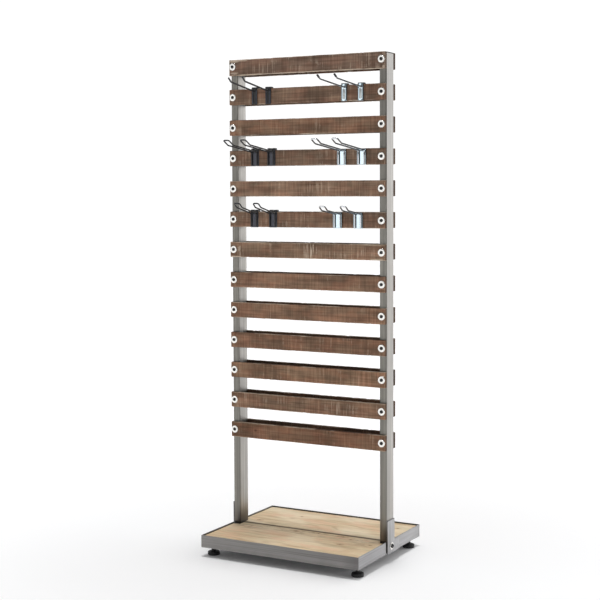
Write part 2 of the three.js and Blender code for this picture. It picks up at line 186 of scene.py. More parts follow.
# ----------------------------------------------------------------- materials
def slat_material(name, seed, n, base, warm=0.5, top_wear=0.25, low_wear=0.25, end_wear=0.2,
                  patches=(), streaks=(), knots=(), scuff=0.25, inner=1.0):
    """Rough-sawn softwood with a brown stain: long grain, upright saw strokes,
    pale wood where the stain has rubbed off the arrises and in patches."""
    M = Mat(name, 0.0, 0.8)
    M.b.inputs["Specular IOR Level"].default_value = 0.25
    zc = (slat_top(n) + slat_bottom(n)) / 2 * MM
    half = (slat_top(n) - slat_bottom(n)) / 2 * MM
    x, y, z = M.sep(M.co)
    loc = (seed * 3.17, seed * 1.31, seed * 2.23)
    p = M.mapping(M.co, loc)
    grain = M.noise(p, (6, 170, 170), 4, 0.6, 0.35)
    fine = M.noise(p, (22, 640, 640), 3, 0.6)
    tone = M.noise(p, (11, 30, 24), 2, 0.5)
    hue = M.noise(p, (17, 30, 40), 2, 0.5, loc=(5, 2, 9))
    saw = M.noise(p, (190, 12, 9), 3, 0.6, 0.3)
    saw_fine = M.noise(p, (460, 60, 14), 2, 0.5)
    ragged = M.noise(p, (60, 60, 130), 4, 0.65, loc=(1, 7, 3))

    def k(v, r=0.0, g=0.0, b=0.0):
        return (base[0] * (v + r), base[1] * (v + g), base[2] * (v + b), 1.0)

    c = M.ramp(grain, [(0.30, k(0.58)), (0.46, k(0.92)), (0.58, k(1.08)), (0.70, k(1.38))])
    red = (base[0] * 1.10, base[1] * 0.93, base[2] * 0.86, 1)
    drab = (base[0] * 0.93, base[1] * 1.0, base[2] * 0.98, 1)
    tint = M.mix(M.step(hue, 0.38, 0.64), drab, red)
    c = M.mix(0.35 + 0.3 * warm, c, M.mix(1.0, tint, M.ramp(grain, [(0.3, (0.72, 0.72, 0.72, 1)), (0.7, (1.16, 1.16, 1.16, 1))]), "MULTIPLY"))
    c = M.mix(1.0, c, M.ramp(tone, [(0.34, (0.74, 0.74, 0.74, 1)), (0.64, (1.24, 1.23, 1.22, 1))]), "MULTIPLY")
    c = M.mix(1.0, c, M.ramp(saw, [(0.34, (0.81, 0.805, 0.80, 1)), (0.50, (0.98, 0.98, 0.98, 1)), (0.66, (1.20, 1.185, 1.165, 1))]), "MULTIPLY")
    c = M.mix(1.0, c, M.ramp(saw_fine, [(0.35, (0.93, 0.93, 0.93, 1)), (0.65, (1.07, 1.07, 1.07, 1))]), "MULTIPLY")

    # rubbed arrises: distance from the slat's middle, with a ragged limit
    t = M.math("DIVIDE", M.math("SUBTRACT", z, zc), half)
    t = M.math("ADD", t, M.math("MULTIPLY", M.math("SUBTRACT", ragged, 0.5), 0.16))
    along = M.noise(p, (9, 9, 9), 2, 0.55, loc=(8, 8, 1))
    up = M.math("MULTIPLY", M.step(t, 0.88, 0.98), M.step(along, 0.62 - 0.4 * top_wear, 0.74 - 0.4 * top_wear))
    dn = M.math("MULTIPLY", M.step(t, -0.985, -0.89, 1.0, 0.0), M.step(along, 0.62 - 0.4 * low_wear, 0.74 - 0.4 * low_wear))
    ends = M.math("MULTIPLY", M.step(M.math("ADD", M.math("ABSOLUTE", x), M.math("MULTIPLY", ragged, 0.006)), 0.2815, 0.2855), 0.35 * end_wear)
    worn = M.math("MAXIMUM", M.math("MAXIMUM", up, dn), ends)
    rub = M.math("MULTIPLY", M.step(M.math("MULTIPLY", saw, M.noise(p, (26, 20, 30), 3, 0.6, loc=(3, 3, 3))), 0.345 - 0.05 * scuff, 0.42 - 0.05 * scuff), 0.55 * scuff + 0.1)
    worn = M.math("MAXIMUM", worn, rub)
    for px, pz, rx, rz, amount in patches:
        worn = M.math("MAXIMUM", worn, M.math("MULTIPLY", blot(M, x, z, px, zc + pz, rx, rz, ragged), amount))
    for px, pz, rx, rz, amount in streaks:       # groups of upright pale strokes
        m = M.math("MULTIPLY", blot(M, x, z, px, zc + pz, rx, rz, ragged), M.step(M.math("ADD", saw, M.math("MULTIPLY", M.math("SUBTRACT", saw_fine, 0.5), 0.5)), 0.52, 0.64))
        worn = M.math("MAXIMUM", worn, M.math("MULTIPLY", m, amount))
    pale = M.ramp(fine, [(0.3, lin(192, 170, 148)), (0.7, lin(238, 220, 198))])
    c = M.mix(M.math("MULTIPLY", worn, 0.93), c, pale)
    nx, ny, nz = M.sep(M.t.nodes.new("ShaderNodeTexCoord").outputs["Normal"])
    end_grain_and_shade = M.step(M.math("ABSOLUTE", nx), 0.6, 0.9, 0.0, 0.78 if inner > 0 else 0.9)
    c = M.mix(end_grain_and_shade, c, (base[0] * 0.20, base[1] * 0.17, base[2] * 0.15, 1))     # end grain drinks the stain; the end faces are darkened further as painted shade
    for px, pz, r in knots:
        m = blot(M, x, z, px, zc + pz, r * 1.5, r, ragged)
        c = M.mix(M.math("MULTIPLY", m, 0.7), c, (base[0] * 0.35, base[1] * 0.3, base[2] * 0.3, 1))
    shade = M.math("MAXIMUM", M.step(M.math("MULTIPLY", ny, inner), 0.6, 0.9), M.step(nz, 0.75, 0.95))
    c = M.mix(shade, c, M.mix(1.0, c, (0.38, 0.36, 0.34, 1), "MULTIPLY"))      # painted shade: the inner face, and the top face with it, are darkened for the shade between the two rows of slats
    M.colour(c)
    M.rough(M.step(fine, 0.3, 0.7, 0.72, 0.9, smooth=False))
    h = M.math("ADD", M.math("MULTIPLY", saw_fine, 0.5), M.math("ADD", M.math("MULTIPLY", fine, 0.35), M.math("MULTIPLY", saw, 0.5)))
    M.bump(h, 0.55, 0.0007)
    return M.m


def board_material(name, seed, knots):
    """Planed tan boards: cathedral grain along X, brown knots with their own rings."""
    M = Mat(name, 0.0, 0.6)
    M.b.inputs["Specular IOR Level"].default_value = 0.35
    x, y, z = M.sep(M.co)
    p = M.mapping(M.co, (seed * 2.7, seed * 1.9, seed))
    warp = M.noise(p, (5, 14, 14), 2, 0.5)
    pw = M.math("ADD", M.math("MULTIPLY", y, 26.0), M.math("MULTIPLY", warp, 3.4))
    halo = None
    for kx, ky, r in knots:                      # the grain bends round each knot
        m = blot(M, x, y, kx, ky, r * 4.6, r * 2.6, warp, (0.0, 1.0))
        pw = M.math("ADD", pw, M.math("MULTIPLY", m, 0.9))
        halo = m if halo is None else M.math("MAXIMUM", halo, m)
    rings = M.math("ABSOLUTE", M.math("SUBTRACT", M.math("FRACT", pw), 0.5))
    streak = M.noise(p, (7, 190, 190), 4, 0.6, 0.3)
    fine = M.noise(p, (30, 700, 700), 3, 0.6)
    tone = M.noise(p, (6, 13, 13), 2, 0.5, loc=(4, 4, 4))
    c = M.ramp(streak, [(0.3, lin(186, 160, 124)), (0.5, lin(208, 184, 148)), (0.7, lin(221, 200, 168))])
    c = M.mix(M.step(rings, 0.02, 0.2, 0.42, 0.0), c, lin(166, 132, 96))
    c = M.mix(M.step(tone, 0.42, 0.62, 0.0, 0.6), c, lin(230, 212, 182))
    pink = M.noise(p, (9, 22, 20), 3, 0.6, loc=(9, 2, 6))
    c = M.mix(M.step(pink, 0.50, 0.64, 0.0, 0.45), c, lin(216, 172, 138))
    c = M.mix(M.step(pink, 0.30, 0.44, 0.4, 0.0), c, lin(196, 186, 150))
    smudge = M.noise(p, (24, 70, 60), 4, 0.65, loc=(2, 5, 8))
    near = M.step(M.math("ABSOLUTE", M.math("ADD", y, 0.022)), 0.0, 0.06, 1.0, 0.12)
    c = M.mix(M.math("MULTIPLY", M.step(smudge, 0.50, 0.66), M.math("MULTIPLY", near, 0.55)), c, lin(128, 104, 76))
    if halo is not None:
        c = M.mix(M.math("MULTIPLY", halo, 0.35), c, lin(182, 140, 100))
    ragged = M.noise(p, (120, 120, 120), 3, 0.6)
    for kx, ky, r in knots:
        c = M.mix(M.math("MULTIPLY", blot(M, x, y, kx, ky, r * 1.5, r, ragged, (0.3, 1.3)), 0.6), c, lin(140, 100, 72))
        c = M.mix(M.math("MULTIPLY", blot(M, x, y, kx, ky, r * 0.7, r * 0.45, ragged, (0.2, 1.1)), 0.65), c, lin(92, 62, 46))
    edge = M.step(M.math("ADD", M.math("ABSOLUTE", y), M.math("MULTIPLY", smudge, 0.008)), 0.0048, 0.0165, 0.95, 0.0)
    c = M.mix(edge, c, lin(80, 59, 38))          # grime along the seam, and painted shade for the gap between the boards and their rounded edges
    if name.endswith("front"):                   # painted shade: the left part of the front board is kept darker and greyer than the right, for the soft shadow near the left upright
        c = M.mix(1.0, c, M.ramp(M.math("ADD", x, M.math("MULTIPLY", tone, 0.1)), [(0.0, (1.06, 1.07, 1.09, 1)), (0.12, (1.19, 1.20, 1.21, 1))]), "MULTIPLY")
        stain = M.math("MULTIPLY", blot(M, x, y, -0.215, -0.045, 0.075, 0.03, smudge, (0.2, 1.2)), M.step(smudge, 0.42, 0.6))
        c = M.mix(M.math("MULTIPLY", stain, 0.6), c, lin(120, 94, 66))
    else:
        # painted light: the back board is made lighter and cooler than the front one, for the light reaching it from
        # behind the slats
        c = M.mix(1.0, c, (1.09, 1.12, 1.16, 1), "MULTIPLY")
    nx, ny, nz = M.sep(M.t.nodes.new("ShaderNodeTexCoord").outputs["Normal"])
    c = M.mix(M.step(nz, -0.9, -0.4, 1.0, 0.0), c, (0.16, 0.16, 0.164, 1))      # painted shade: the underside is dark grey, so that little light bounces off it and the floor shadow under the base stays dark and neutral
    M.colour(c)
    M.rough(M.step(fine, 0.3, 0.7, 0.5, 0.68, smooth=False))
    M.bump(M.math("ADD", M.math("MULTIPLY", streak, 0.6), M.math("MULTIPLY", fine, 0.5)), 0.3, 0.0004)
    return M.m


def steel_material(name, stretch, base=(0.285, 0.272, 0.250), rough=0.40, blotch=0.5, foot=False, lips=None, rim=False, band=1.0, faces=None, shade_to_right=False):
    """Mill-finish steel under clear lacquer: drawn streaks, faint mill blotches."""
    M = Mat(name, 1.0, rough, Coat_Weight=0.9, Coat_Roughness=0.28, Coat_IOR=1.5)
    streak = M.noise(M.co, tuple(4 if s else 420 for s in stretch), 3, 0.6)
    broad = M.noise(M.co, tuple(1.6 if s else 90 for s in stretch), 2, 0.5, loc=(3, 1, 2))
    cloud = M.noise(M.co, (14, 14, 14), 3, 0.55, loc=(7, 7, 7))
    speck = M.noise(M.co, (260, 260, 260), 2, 0.5)
    b = base
    c = M.ramp(streak, [(0.28, (b[0] * 0.74, b[1] * 0.73, b[2] * 0.71, 1)), (0.5, (b[0], b[1], b[2], 1)),
                        (0.72, (b[0] * 1.25, b[1] * 1.25, b[2] * 1.25, 1))])
    bands = M.noise(M.co, tuple(2.2 if s else 170 for s in stretch), 2, 0.55, loc=(6, 6, 6))
    c = M.mix(1.0, c, M.ramp(bands, [(0.32, (1 - 0.2 * band, 1 - 0.21 * band, 1 - 0.23 * band, 1)), (0.52, (1, 1, 1, 1)), (0.68, (1 + 0.24 * band, 1 + 0.23 * band, 1 + 0.21 * band, 1))]), "MULTIPLY")
    c = M.mix(1.0, c, M.ramp(broad, [(0.3, (0.93, 0.925, 0.915, 1)), (0.7, (1.08, 1.08, 1.09, 1))]), "MULTIPLY")
    c = M.mix(M.step(cloud, 0.5, 0.72, 0.0, 0.35 * blotch), c, (b[0] * 0.74, b[1] * 0.73, b[2] * 0.72, 1))
    x, y, z = M.sep(M.co)
    if faces:                                    # painted shade and light: the narrow front and back faces are darkened and the wide side faces lightened
        nx, ny, nz = M.sep(M.t.nodes.new("ShaderNodeTexCoord").outputs["Normal"])
        narrow = M.step(M.math("ABSOLUTE", ny), 0.5, 0.8)
        c = M.mix(1.0, c, M.mix(narrow, faces[1], faces[0]), "MULTIPLY")
        wide = M.math("MULTIPLY", M.step(x, 0.1, 0.2), M.math("SUBTRACT", 1.0, narrow))
        # painted light on the right upright's side faces: lighter low down, darker toward the top
        painted_side_light = M.ramp(M.math("MULTIPLY", z, 0.6), [(0.10, (1.17, 1.17, 1.18, 1)), (0.26, (1.12, 1.12, 1.125, 1)), (0.56, (1.01, 1.005, 1.0, 1)), (0.88, (0.925, 0.935, 0.945, 1))])
        c = M.mix(wide, c, M.mix(1.0, c, painted_side_light, "MULTIPLY"))
    if foot:                                     # handling dirt and oxide down at the deck, and painted shade low on the tube
        low = M.step(M.math("ADD", z, M.math("MULTIPLY", M.math("SUBTRACT", streak, 0.5), 0.04)), 0.068, 0.150, 0.80, 0.0)
        c = M.mix(low, c, (b[0] * 0.40, b[1] * 0.33, b[2] * 0.26, 1))
        # painted shade: near-black low on the middle of the front and back faces, fading out by 135 mm
        u = M.math("MODULO", M.math("ADD", x, HALF_W * MM), (2 * HALF_W - UP_W) * MM)
        inside = M.math("MULTIPLY", M.step(u, 0.008, 0.021), M.step(z, 0.075, 0.135, 0.8, 0.0))
        c = M.mix(inside, c, (0.02, 0.018, 0.017, 1))
        # painted shade: below the rail top the tube is near-black, for the dark inside the base frame seen through the
        # gap in the side rail
        c = M.mix(M.step(z, 0.0700, 0.0735, 0.97, 0.0), c, (0.010, 0.009, 0.008, 1))
    if shade_to_right:                                     # painted shade: browner and darker toward the right end, deepest at the right-hand corner
        c = M.mix(1.0, c, M.ramp(M.math("ADD", M.math("MULTIPLY", x, 1.6), 0.5), [(0.05, (1.10, 1.09, 1.07, 1)), (0.45, (0.99, 0.985, 0.98, 1)), (0.86, (0.93, 0.92, 0.92, 1)), (0.935, (0.66, 0.65, 0.66, 1))]), "MULTIPLY")
    if rim:                                      # painted shade: a dark line along the top edge of the plate, where it would otherwise catch the bright light from above
        c = M.mix(M.step(z, 0.1350, 0.1358, 0.0, 0.9), c, (0.03, 0.03, 0.036, 1))
    if lips:                                     # dark line along the top of the inner lip
        axis, side = lips
        v = M.math("MULTIPLY", y if axis == "y" else x, side)
        inside = M.step(v, (HALF_D - 0.55) * MM if axis == "y" else (HALF_W - 0.55) * MM, (HALF_D - 0.2) * MM if axis == "y" else (HALF_W - 0.2) * MM, 1.0, 0.0)
        m = M.math("MULTIPLY", inside, M.step(z, 0.060, 0.064))
        c = M.mix(M.math("MULTIPLY", m, 0.9), c, (0.035, 0.03, 0.024, 1))
    M.colour(c)
    r = M.math("ADD", M.step(streak, 0.3, 0.7, rough - 0.06, rough + 0.08), M.step(cloud, 0.4, 0.7, 0.0, 0.07 * blotch))
    M.rough(r)
    M.bump(M.math("ADD", streak, M.math("MULTIPLY", speck, 0.4)), 0.12, 0.0002)
    return M.m


def zinc_material():
    M = Mat("zinc_plate", 1.0, 0.24)
    cloud = M.noise(M.co, (160, 160, 160), 3, 0.6)
    fine = M.noise(M.co, (1500, 1500, 1500), 2, 0.5)
    M.colour(M.ramp(cloud, [(0.3, (0.79, 0.77, 0.73, 1)), (0.7, (0.92, 0.905, 0.87, 1))]))
    M.rough(M.step(cloud, 0.3, 0.7, 0.18, 0.34))
    M.bump(fine, 0.1, 0.0001)
    return M.m


def oxide_material():
    M = Mat("black_oxide", 0.85, 0.38)
    cloud = M.noise(M.co, (300, 300, 300), 3, 0.6)
    M.colour(M.ramp(cloud, [(0.3, (0.030, 0.030, 0.032, 1)), (0.7, (0.075, 0.072, 0.070, 1))]))
    M.rough(M.step(cloud, 0.3, 0.7, 0.3, 0.5))
    M.bump(cloud, 0.1, 0.0001)
    return M.m


def powder_material():
    M = Mat("black_powder_coat", 0.0, 0.42)
    M.b.inputs["Specular IOR Level"].default_value = 0.55
    peel = M.noise(M.co, (900, 900, 900), 2, 0.5)
    cloud = M.noise(M.co, (60, 60, 60), 3, 0.6)
    M.colour(M.ramp(cloud, [(0.3, (0.012, 0.012, 0.014, 1)), (0.7, (0.026, 0.026, 0.029, 1))]))
    M.rough(M.step(cloud, 0.3, 0.7, 0.34, 0.5))
    M.bump(peel, 0.25, 0.00015)
    return M.m


def satin_material():
    """Blackened sheet with a satin sheen, a little lighter than the wires."""
    M = Mat("blackened_sheet", 0.75, 0.36)
    cloud = M.noise(M.co, (80, 80, 80), 3, 0.6)
    drawn = M.noise(M.co, (900, 60, 60), 2, 0.5)
    M.colour(M.ramp(cloud, [(0.3, (0.060, 0.062, 0.075, 1)), (0.7, (0.105, 0.107, 0.125, 1))]))
    M.rough(M.step(cloud, 0.3, 0.7, 0.3, 0.44))
    M.bump(drawn, 0.12, 0.0001)
    return M.m


def nickel_material():
    M = Mat("satin_nickel", 1.0, 0.4)
    cloud = M.noise(M.co, (200, 200, 200), 3, 0.6)
    drawn = M.noise(M.co, (1200, 1200, 90), 2, 0.5)
    M.colour(M.ramp(cloud, [(0.3, (0.42, 0.45, 0.44, 1)), (0.7, (0.62, 0.65, 0.65, 1))]))
    M.rough(M.step(drawn, 0.3, 0.7, 0.3, 0.46))
    M.bump(drawn, 0.12, 0.0001)
    return M.m


def chrome_material(name="chrome_plate", fold=False):
    M = Mat(name, 1.0, 0.07)
    cloud = M.noise(M.co, (90, 90, 90), 3, 0.6)
    wipe = M.noise(M.co, (40, 40, 300), 2, 0.5)
    nx, ny, nz = M.sep(M.t.nodes.new("ShaderNodeTexCoord").outputs["Normal"])
    cut = M.step(nx, 0.35, 0.7)                  # painted shade: faces turned to +X are dark and dull, for the dark right-hand sides of the clips and prongs
    if fold:                                     # painted shade: the upward-facing outside of each fold is darkened too, in place of its bright reflection of the light above
        cut = M.math("MAXIMUM", cut, M.step(nz, 0.25, 0.6, 0.0, 0.92))
    tint = (0.665, 0.755, 0.79) if fold else (1.0, 1.0, 1.0)   # painted reflection: the folded clips are toned darker and a little bluish, for the pale blue sheen on their faces
    plate = M.ramp(cloud, [(0.3, (0.78 * tint[0], 0.82 * tint[1], 0.86 * tint[2], 1)), (0.7, (0.90 * tint[0], 0.93 * tint[1], 0.96 * tint[2], 1))])
    M.colour(M.mix(M.math("MULTIPLY", cut, 0.93), plate, (0.035, 0.036, 0.042, 1)))
    M.rough(M.math("ADD", M.math("ADD", M.step(cloud, 0.35, 0.7, 0.05, 0.13), M.step(wipe, 0.5, 0.8, 0.0, 0.06)), M.math("MULTIPLY", cut, 0.35)))
    M.bump(wipe, 0.04, 0.0001)
    return M.m


def plastic_material(name, tone=0.016, rough=0.42):
    M = Mat(name, 0.0, rough)
    M.b.inputs["Specular IOR Level"].default_value = 0.45
    grain = M.noise(M.co, (1400, 1400, 1400), 2, 0.5)
    cloud = M.noise(M.co, (70, 70, 70), 3, 0.6)
    M.colour(M.ramp(cloud, [(0.3, (tone * 0.8, tone * 0.8, tone * 0.85, 1)), (0.7, (tone * 1.6, tone * 1.6, tone * 1.65, 1))]))
    M.rough(M.step(cloud, 0.3, 0.7, rough - 0.06, rough + 0.1))
    M.bump(grain, 0.2, 0.0001)
    return M.m


# the faces argument is painted shade for the narrow faces and painted light for the wide ones
STEEL_Z = steel_material("mill_steel_upright", (False, False, True), foot=True, faces=((0.76, 0.76, 0.73, 1), (1.10, 1.10, 1.11, 1)))
STEEL_RAIL = {
    "front": steel_material("mill_steel_rail_front", (True, False, False), (0.208, 0.201, 0.196), 0.38, band=0.45, shade_to_right=True),
    "back": steel_material("mill_steel_rail_back", (True, False, False), (0.208, 0.201, 0.196), 0.38, band=0.45, shade_to_right=True, lips=("y", 1)),
    "left": steel_material("mill_steel_rail_left", (False, True, False), (0.325, 0.32, 0.327), 0.38, band=0.35, lips=("x", -1)),
    "right": steel_material("mill_steel_rail_right", (False, True, False), (0.325, 0.32, 0.327), 0.38, band=0.35),
}
STEEL_P = steel_material("mill_steel_plate", (False, False, True), (0.315, 0.312, 0.318), 0.36, 0.8, rim=True, band=0.5)
ZINC = zinc_material()
OXIDE = oxide_material()
POWDER = powder_material()
CHROME = chrome_material()
CHROME_CLIP = chrome_material("chrome_plate_folded", fold=True)
SATIN = satin_material()
NICKEL = nickel_material()
PLASTIC = plastic_material("moulded_cap")
RUBBER = plastic_material("moulded_foot", 0.012, 0.5)
VINYL = plastic_material("dipped_vinyl", 0.008, 0.22)


# ------------------------------------------------------------- mesh helpers
class Build:
    """Collects closed shells, in millimetres, into one piece."""

    def __init__(self):
        self.v, self.f, self.m = [], [], []

    def add(self, verts, faces, mat=0):
        o = len(self.v)
        self.v += [Vector(p) for p in verts]
        self.f += [tuple(i + o for i in f) for f in faces]
        self.m += [mat] * len(faces)

    def piece(self, name, mats, body, nodes, slot, angle=32, cutters=()):
        me = bpy.data.meshes.new(name)
        me.from_pydata([p * MM for p in self.v], [], self.f)
        for i, poly in enumerate(me.polygons):
            poly.material_index = self.m[i]
        bm = bmesh.new()
        bm.from_mesh(me)
        bmesh.ops.recalc_face_normals(bm, faces=bm.faces)
        bm.to_mesh(me)
        bm.free()
        for m in mats:
            me.materials.append(m)
        ob = bpy.data.objects.new(name, me)
        bpy.context.scene.collection.objects.link(ob)
        for cut in cutters:
            carve(ob, cut)
        smooth(ob.data, angle)
        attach(ob, body)
        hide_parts(*([nodes] if isinstance(nodes, str) else nodes))
        return ob


def smooth(me, angle):
    for p in me.polygons:
        p.use_smooth = True
    me.set_sharp_from_angle(angle=math.radians(angle))


def carve(ob, cut):
    """Takes the solid of another Build out of ob, and applies it."""
    me = bpy.data.meshes.new("cut")
    me.from_pydata([p * MM for p in cut.v], [], cut.f)
    bm = bmesh.new()
    bm.from_mesh(me)
    bmesh.ops.recalc_face_normals(bm, faces=bm.faces)
    bm.to_mesh(me)
    bm.free()
    tool = bpy.data.objects.new("cut", me)
    bpy.context.scene.collection.objects.link(tool)
    mod = ob.modifiers.new("cut", "BOOLEAN")
    mod.operation = "DIFFERENCE"
    mod.solver = "EXACT"
    mod.object = tool
    dg = bpy.context.evaluated_depsgraph_get()
    dg.update()
    done = bpy.data.meshes.new_from_object(ob.evaluated_get(dg))
    ob.modifiers.clear()
    old = ob.data
    ob.data = done
    bpy.data.objects.remove(tool)
    bpy.data.meshes.remove(me)
    bpy.data.meshes.remove(old)


def fillet2(points, radii, seg=5):
    """Rounds the corners of a closed 2-D outline."""
    out = []
    n = len(points)
    for i, p in enumerate(points):
        p = Vector(p)
        r = radii[i] if isinstance(radii, (list, tuple)) else radii
        a = Vector(points[i - 1]) - p
        b = Vector(points[(i + 1) % n]) - p
        if r <= 0 or a.length < 1e-6 or b.length < 1e-6:
            out.append(p)
            continue
        ang = a.angle(b)
        t = min(r / max(math.tan(ang / 2), 1e-6), a.length * 0.48, b.length * 0.48)
        p0, p2 = p + a.normalized() * t, p + b.normalized() * t
        for k in range(seg + 1):
            s = k / seg
            out.append(p0 * (1 - s) ** 2 + p * (2 * s * (1 - s)) + p2 * s ** 2)
    return out


def fillet3(points, radius, seg=6):
    """Rounds the inner corners of an open 3-D path."""
    pts = [Vector(p) for p in points]
    out = [pts[0]]
    for i in range(1, len(pts) - 1):
        p = pts[i]
        r = radius[i - 1] if isinstance(radius, (list, tuple)) else radius
        a, b = pts[i - 1] - p, pts[i + 1] - p
        ang = a.angle(b)
        if math.pi - ang < 1e-3:
            out.append(p)
            continue
        t = min(r / max(math.tan(ang / 2), 1e-6), a.length * 0.48, b.length * 0.48)
        p0, p2 = p + a.normalized() * t, p + b.normalized() * t
        for k in range(seg + 1):
            s = k / seg
            out.append(p0 * (1 - s) ** 2 + p * (2 * s * (1 - s)) + p2 * s ** 2)
    out.append(pts[-1])
    clean = [out[0]]
    for q in out[1:]:
        if (q - clean[-1]).length > 0.05:
            clean.append(q)
    return clean


def sweep(path, r, sides=14, ends=("round", "round")):
    """A round bar along a path, its ends domed or flat, one closed shell."""
    n = len(path)
    tang = []
    for i in range(n):
        t = Vector()
        if i > 0:
            t += (path[i] - path[i - 1]).normalized()
        if i < n - 1:
            t += (path[i + 1] - path[i]).normalized()
        tang.append(t.normalized())
    ref = Vector((1, 0, 0)) if abs(tang[0].x) < 0.8 else Vector((0, 0, 1))
    u = (ref - tang[0] * ref.dot(tang[0])).normalized()
    rings = []
    for i in range(n):
        u = (u - tang[i] * u.dot(tang[i])).normalized()
        rings.append((path[i], u.copy(), tang[i].cross(u), 1.0))
    full = []
    if ends[0] == "round":
        for a in (80, 55, 28):
            full.append((rings[0][0] - tang[0] * r * 0.7 * math.sin(math.radians(a)), rings[0][1], rings[0][2], math.cos(math.radians(a))))
    full += rings
    if ends[1] == "round":
        for a in (28, 55, 80):
            full.append((rings[-1][0] + tang[-1] * r * 0.7 * math.sin(math.radians(a)), rings[-1][1], rings[-1][2], math.cos(math.radians(a))))
    verts, faces = [], []
    for c, a, b, s in full:
        for j in range(sides):
            w = 2 * math.pi * j / sides
            verts.append(c + a * (math.cos(w) * r * s) + b * (math.sin(w) * r * s))
    for i in range(len(full) - 1):
        for j in range(sides):
            k = (j + 1) % sides
            faces.append((i * sides + j, i * sides + k, (i + 1) * sides + k, (i + 1) * sides + j))
    faces.append(tuple(range(sides - 1, -1, -1)))
    faces.append(tuple((len(full) - 1) * sides + j for j in range(sides)))
    return verts, faces


def prism(outline, place, depth, bevel=0.5, seg=2):
    """An outline extruded with softened edges. place(a, b, h) gives the point."""
    n = len(outline)
    cx = sum(p[0] for p in outline) / n
    cy = sum(p[1] for p in outline) / n
    # inward offset of the outline for the softened rims
    def inset(d):
        if d == 0:
            return [Vector(p) for p in outline]
        res = []
        area = sum(outline[i][0] * outline[(i + 1) % n][1] - outline[(i + 1) % n][0] * outline[i][1] for i in range(n))
        sgn = 1 if area > 0 else -1
        for i in range(n):
            p, a, b = Vector(outline[i]), Vector(outline[i - 1]), Vector(outline[(i + 1) % n])
            e1, e2 = (p - a), (b - p)
            if e1.length < 1e-6 or e2.length < 1e-6:
                res.append(p)
                continue
            e1.normalize()
            e2.normalize()
            n1, n2 = Vector((-e1.y, e1.x)) * sgn, Vector((-e2.y, e2.x)) * sgn
            m = n1 + n2
            if m.length < 1e-6:
                res.append(p)
                continue
            m.normalize()
            res.append(p + m * (d / max(m.dot(n1), 0.35)))
        return res
    levels = []
    for k in range(seg + 1):
        a = math.pi / 2 * k / seg
        levels.append((bevel * (1 - math.sin(a)), bevel * (1 - math.cos(a))))
    stack = [(inset(i), h) for i, h in levels]
    stack += [(inset(i), depth - h) for i, h in reversed(levels)]
    verts, faces = [], []
    for ring, h in stack:
        verts += [place(p[0], p[1], h) for p in ring]
    for i in range(len(stack) - 1):
        for j in range(n):
            k = (j + 1) % n
            faces.append((i * n + j, i * n + k, (i + 1) * n + k, (i + 1) * n + j))
    faces.append(tuple(range(n - 1, -1, -1)))
    faces.append(tuple((len(stack) - 1) * n + j for j in range(n)))
    return verts, faces


def lathe(profile, place, seg=32, closed=False):
    """A profile of (radius, height) turned about an axis. place(x, y, h)."""
    verts, faces, rows = [], [], []
    for r, h in profile:
        if r < 1e-6 and not closed:
            rows.append([len(verts)])
            verts.append(place(0, 0, h))
        else:
            rows.append([len(verts) + j for j in range(seg)])
            for j in range(seg):
                w = 2 * math.pi * j / seg
                verts.append(place(r * math.cos(w), r * math.sin(w), h))
    pairs = list(zip(rows, rows[1:])) + ([(rows[-1], rows[0])] if closed else [])
    for a, b in pairs:
        for j in range(seg):
            k = (j + 1) % seg
            if len(a) == 1 and len(b) == 1:
                continue
            if len(a) == 1:
                faces.append((a[0], b[k], b[j]))
            elif len(b) == 1:
                faces.append((a[j], a[k], b[0]))
            else:
                faces.append((a[j], a[k], b[k], b[j]))
    return verts, faces


def cyl(place, r, h0, h1, seg=20):
    return lathe([(0, h0), (r, h0), (r, h1), (0, h1)], place, seg)


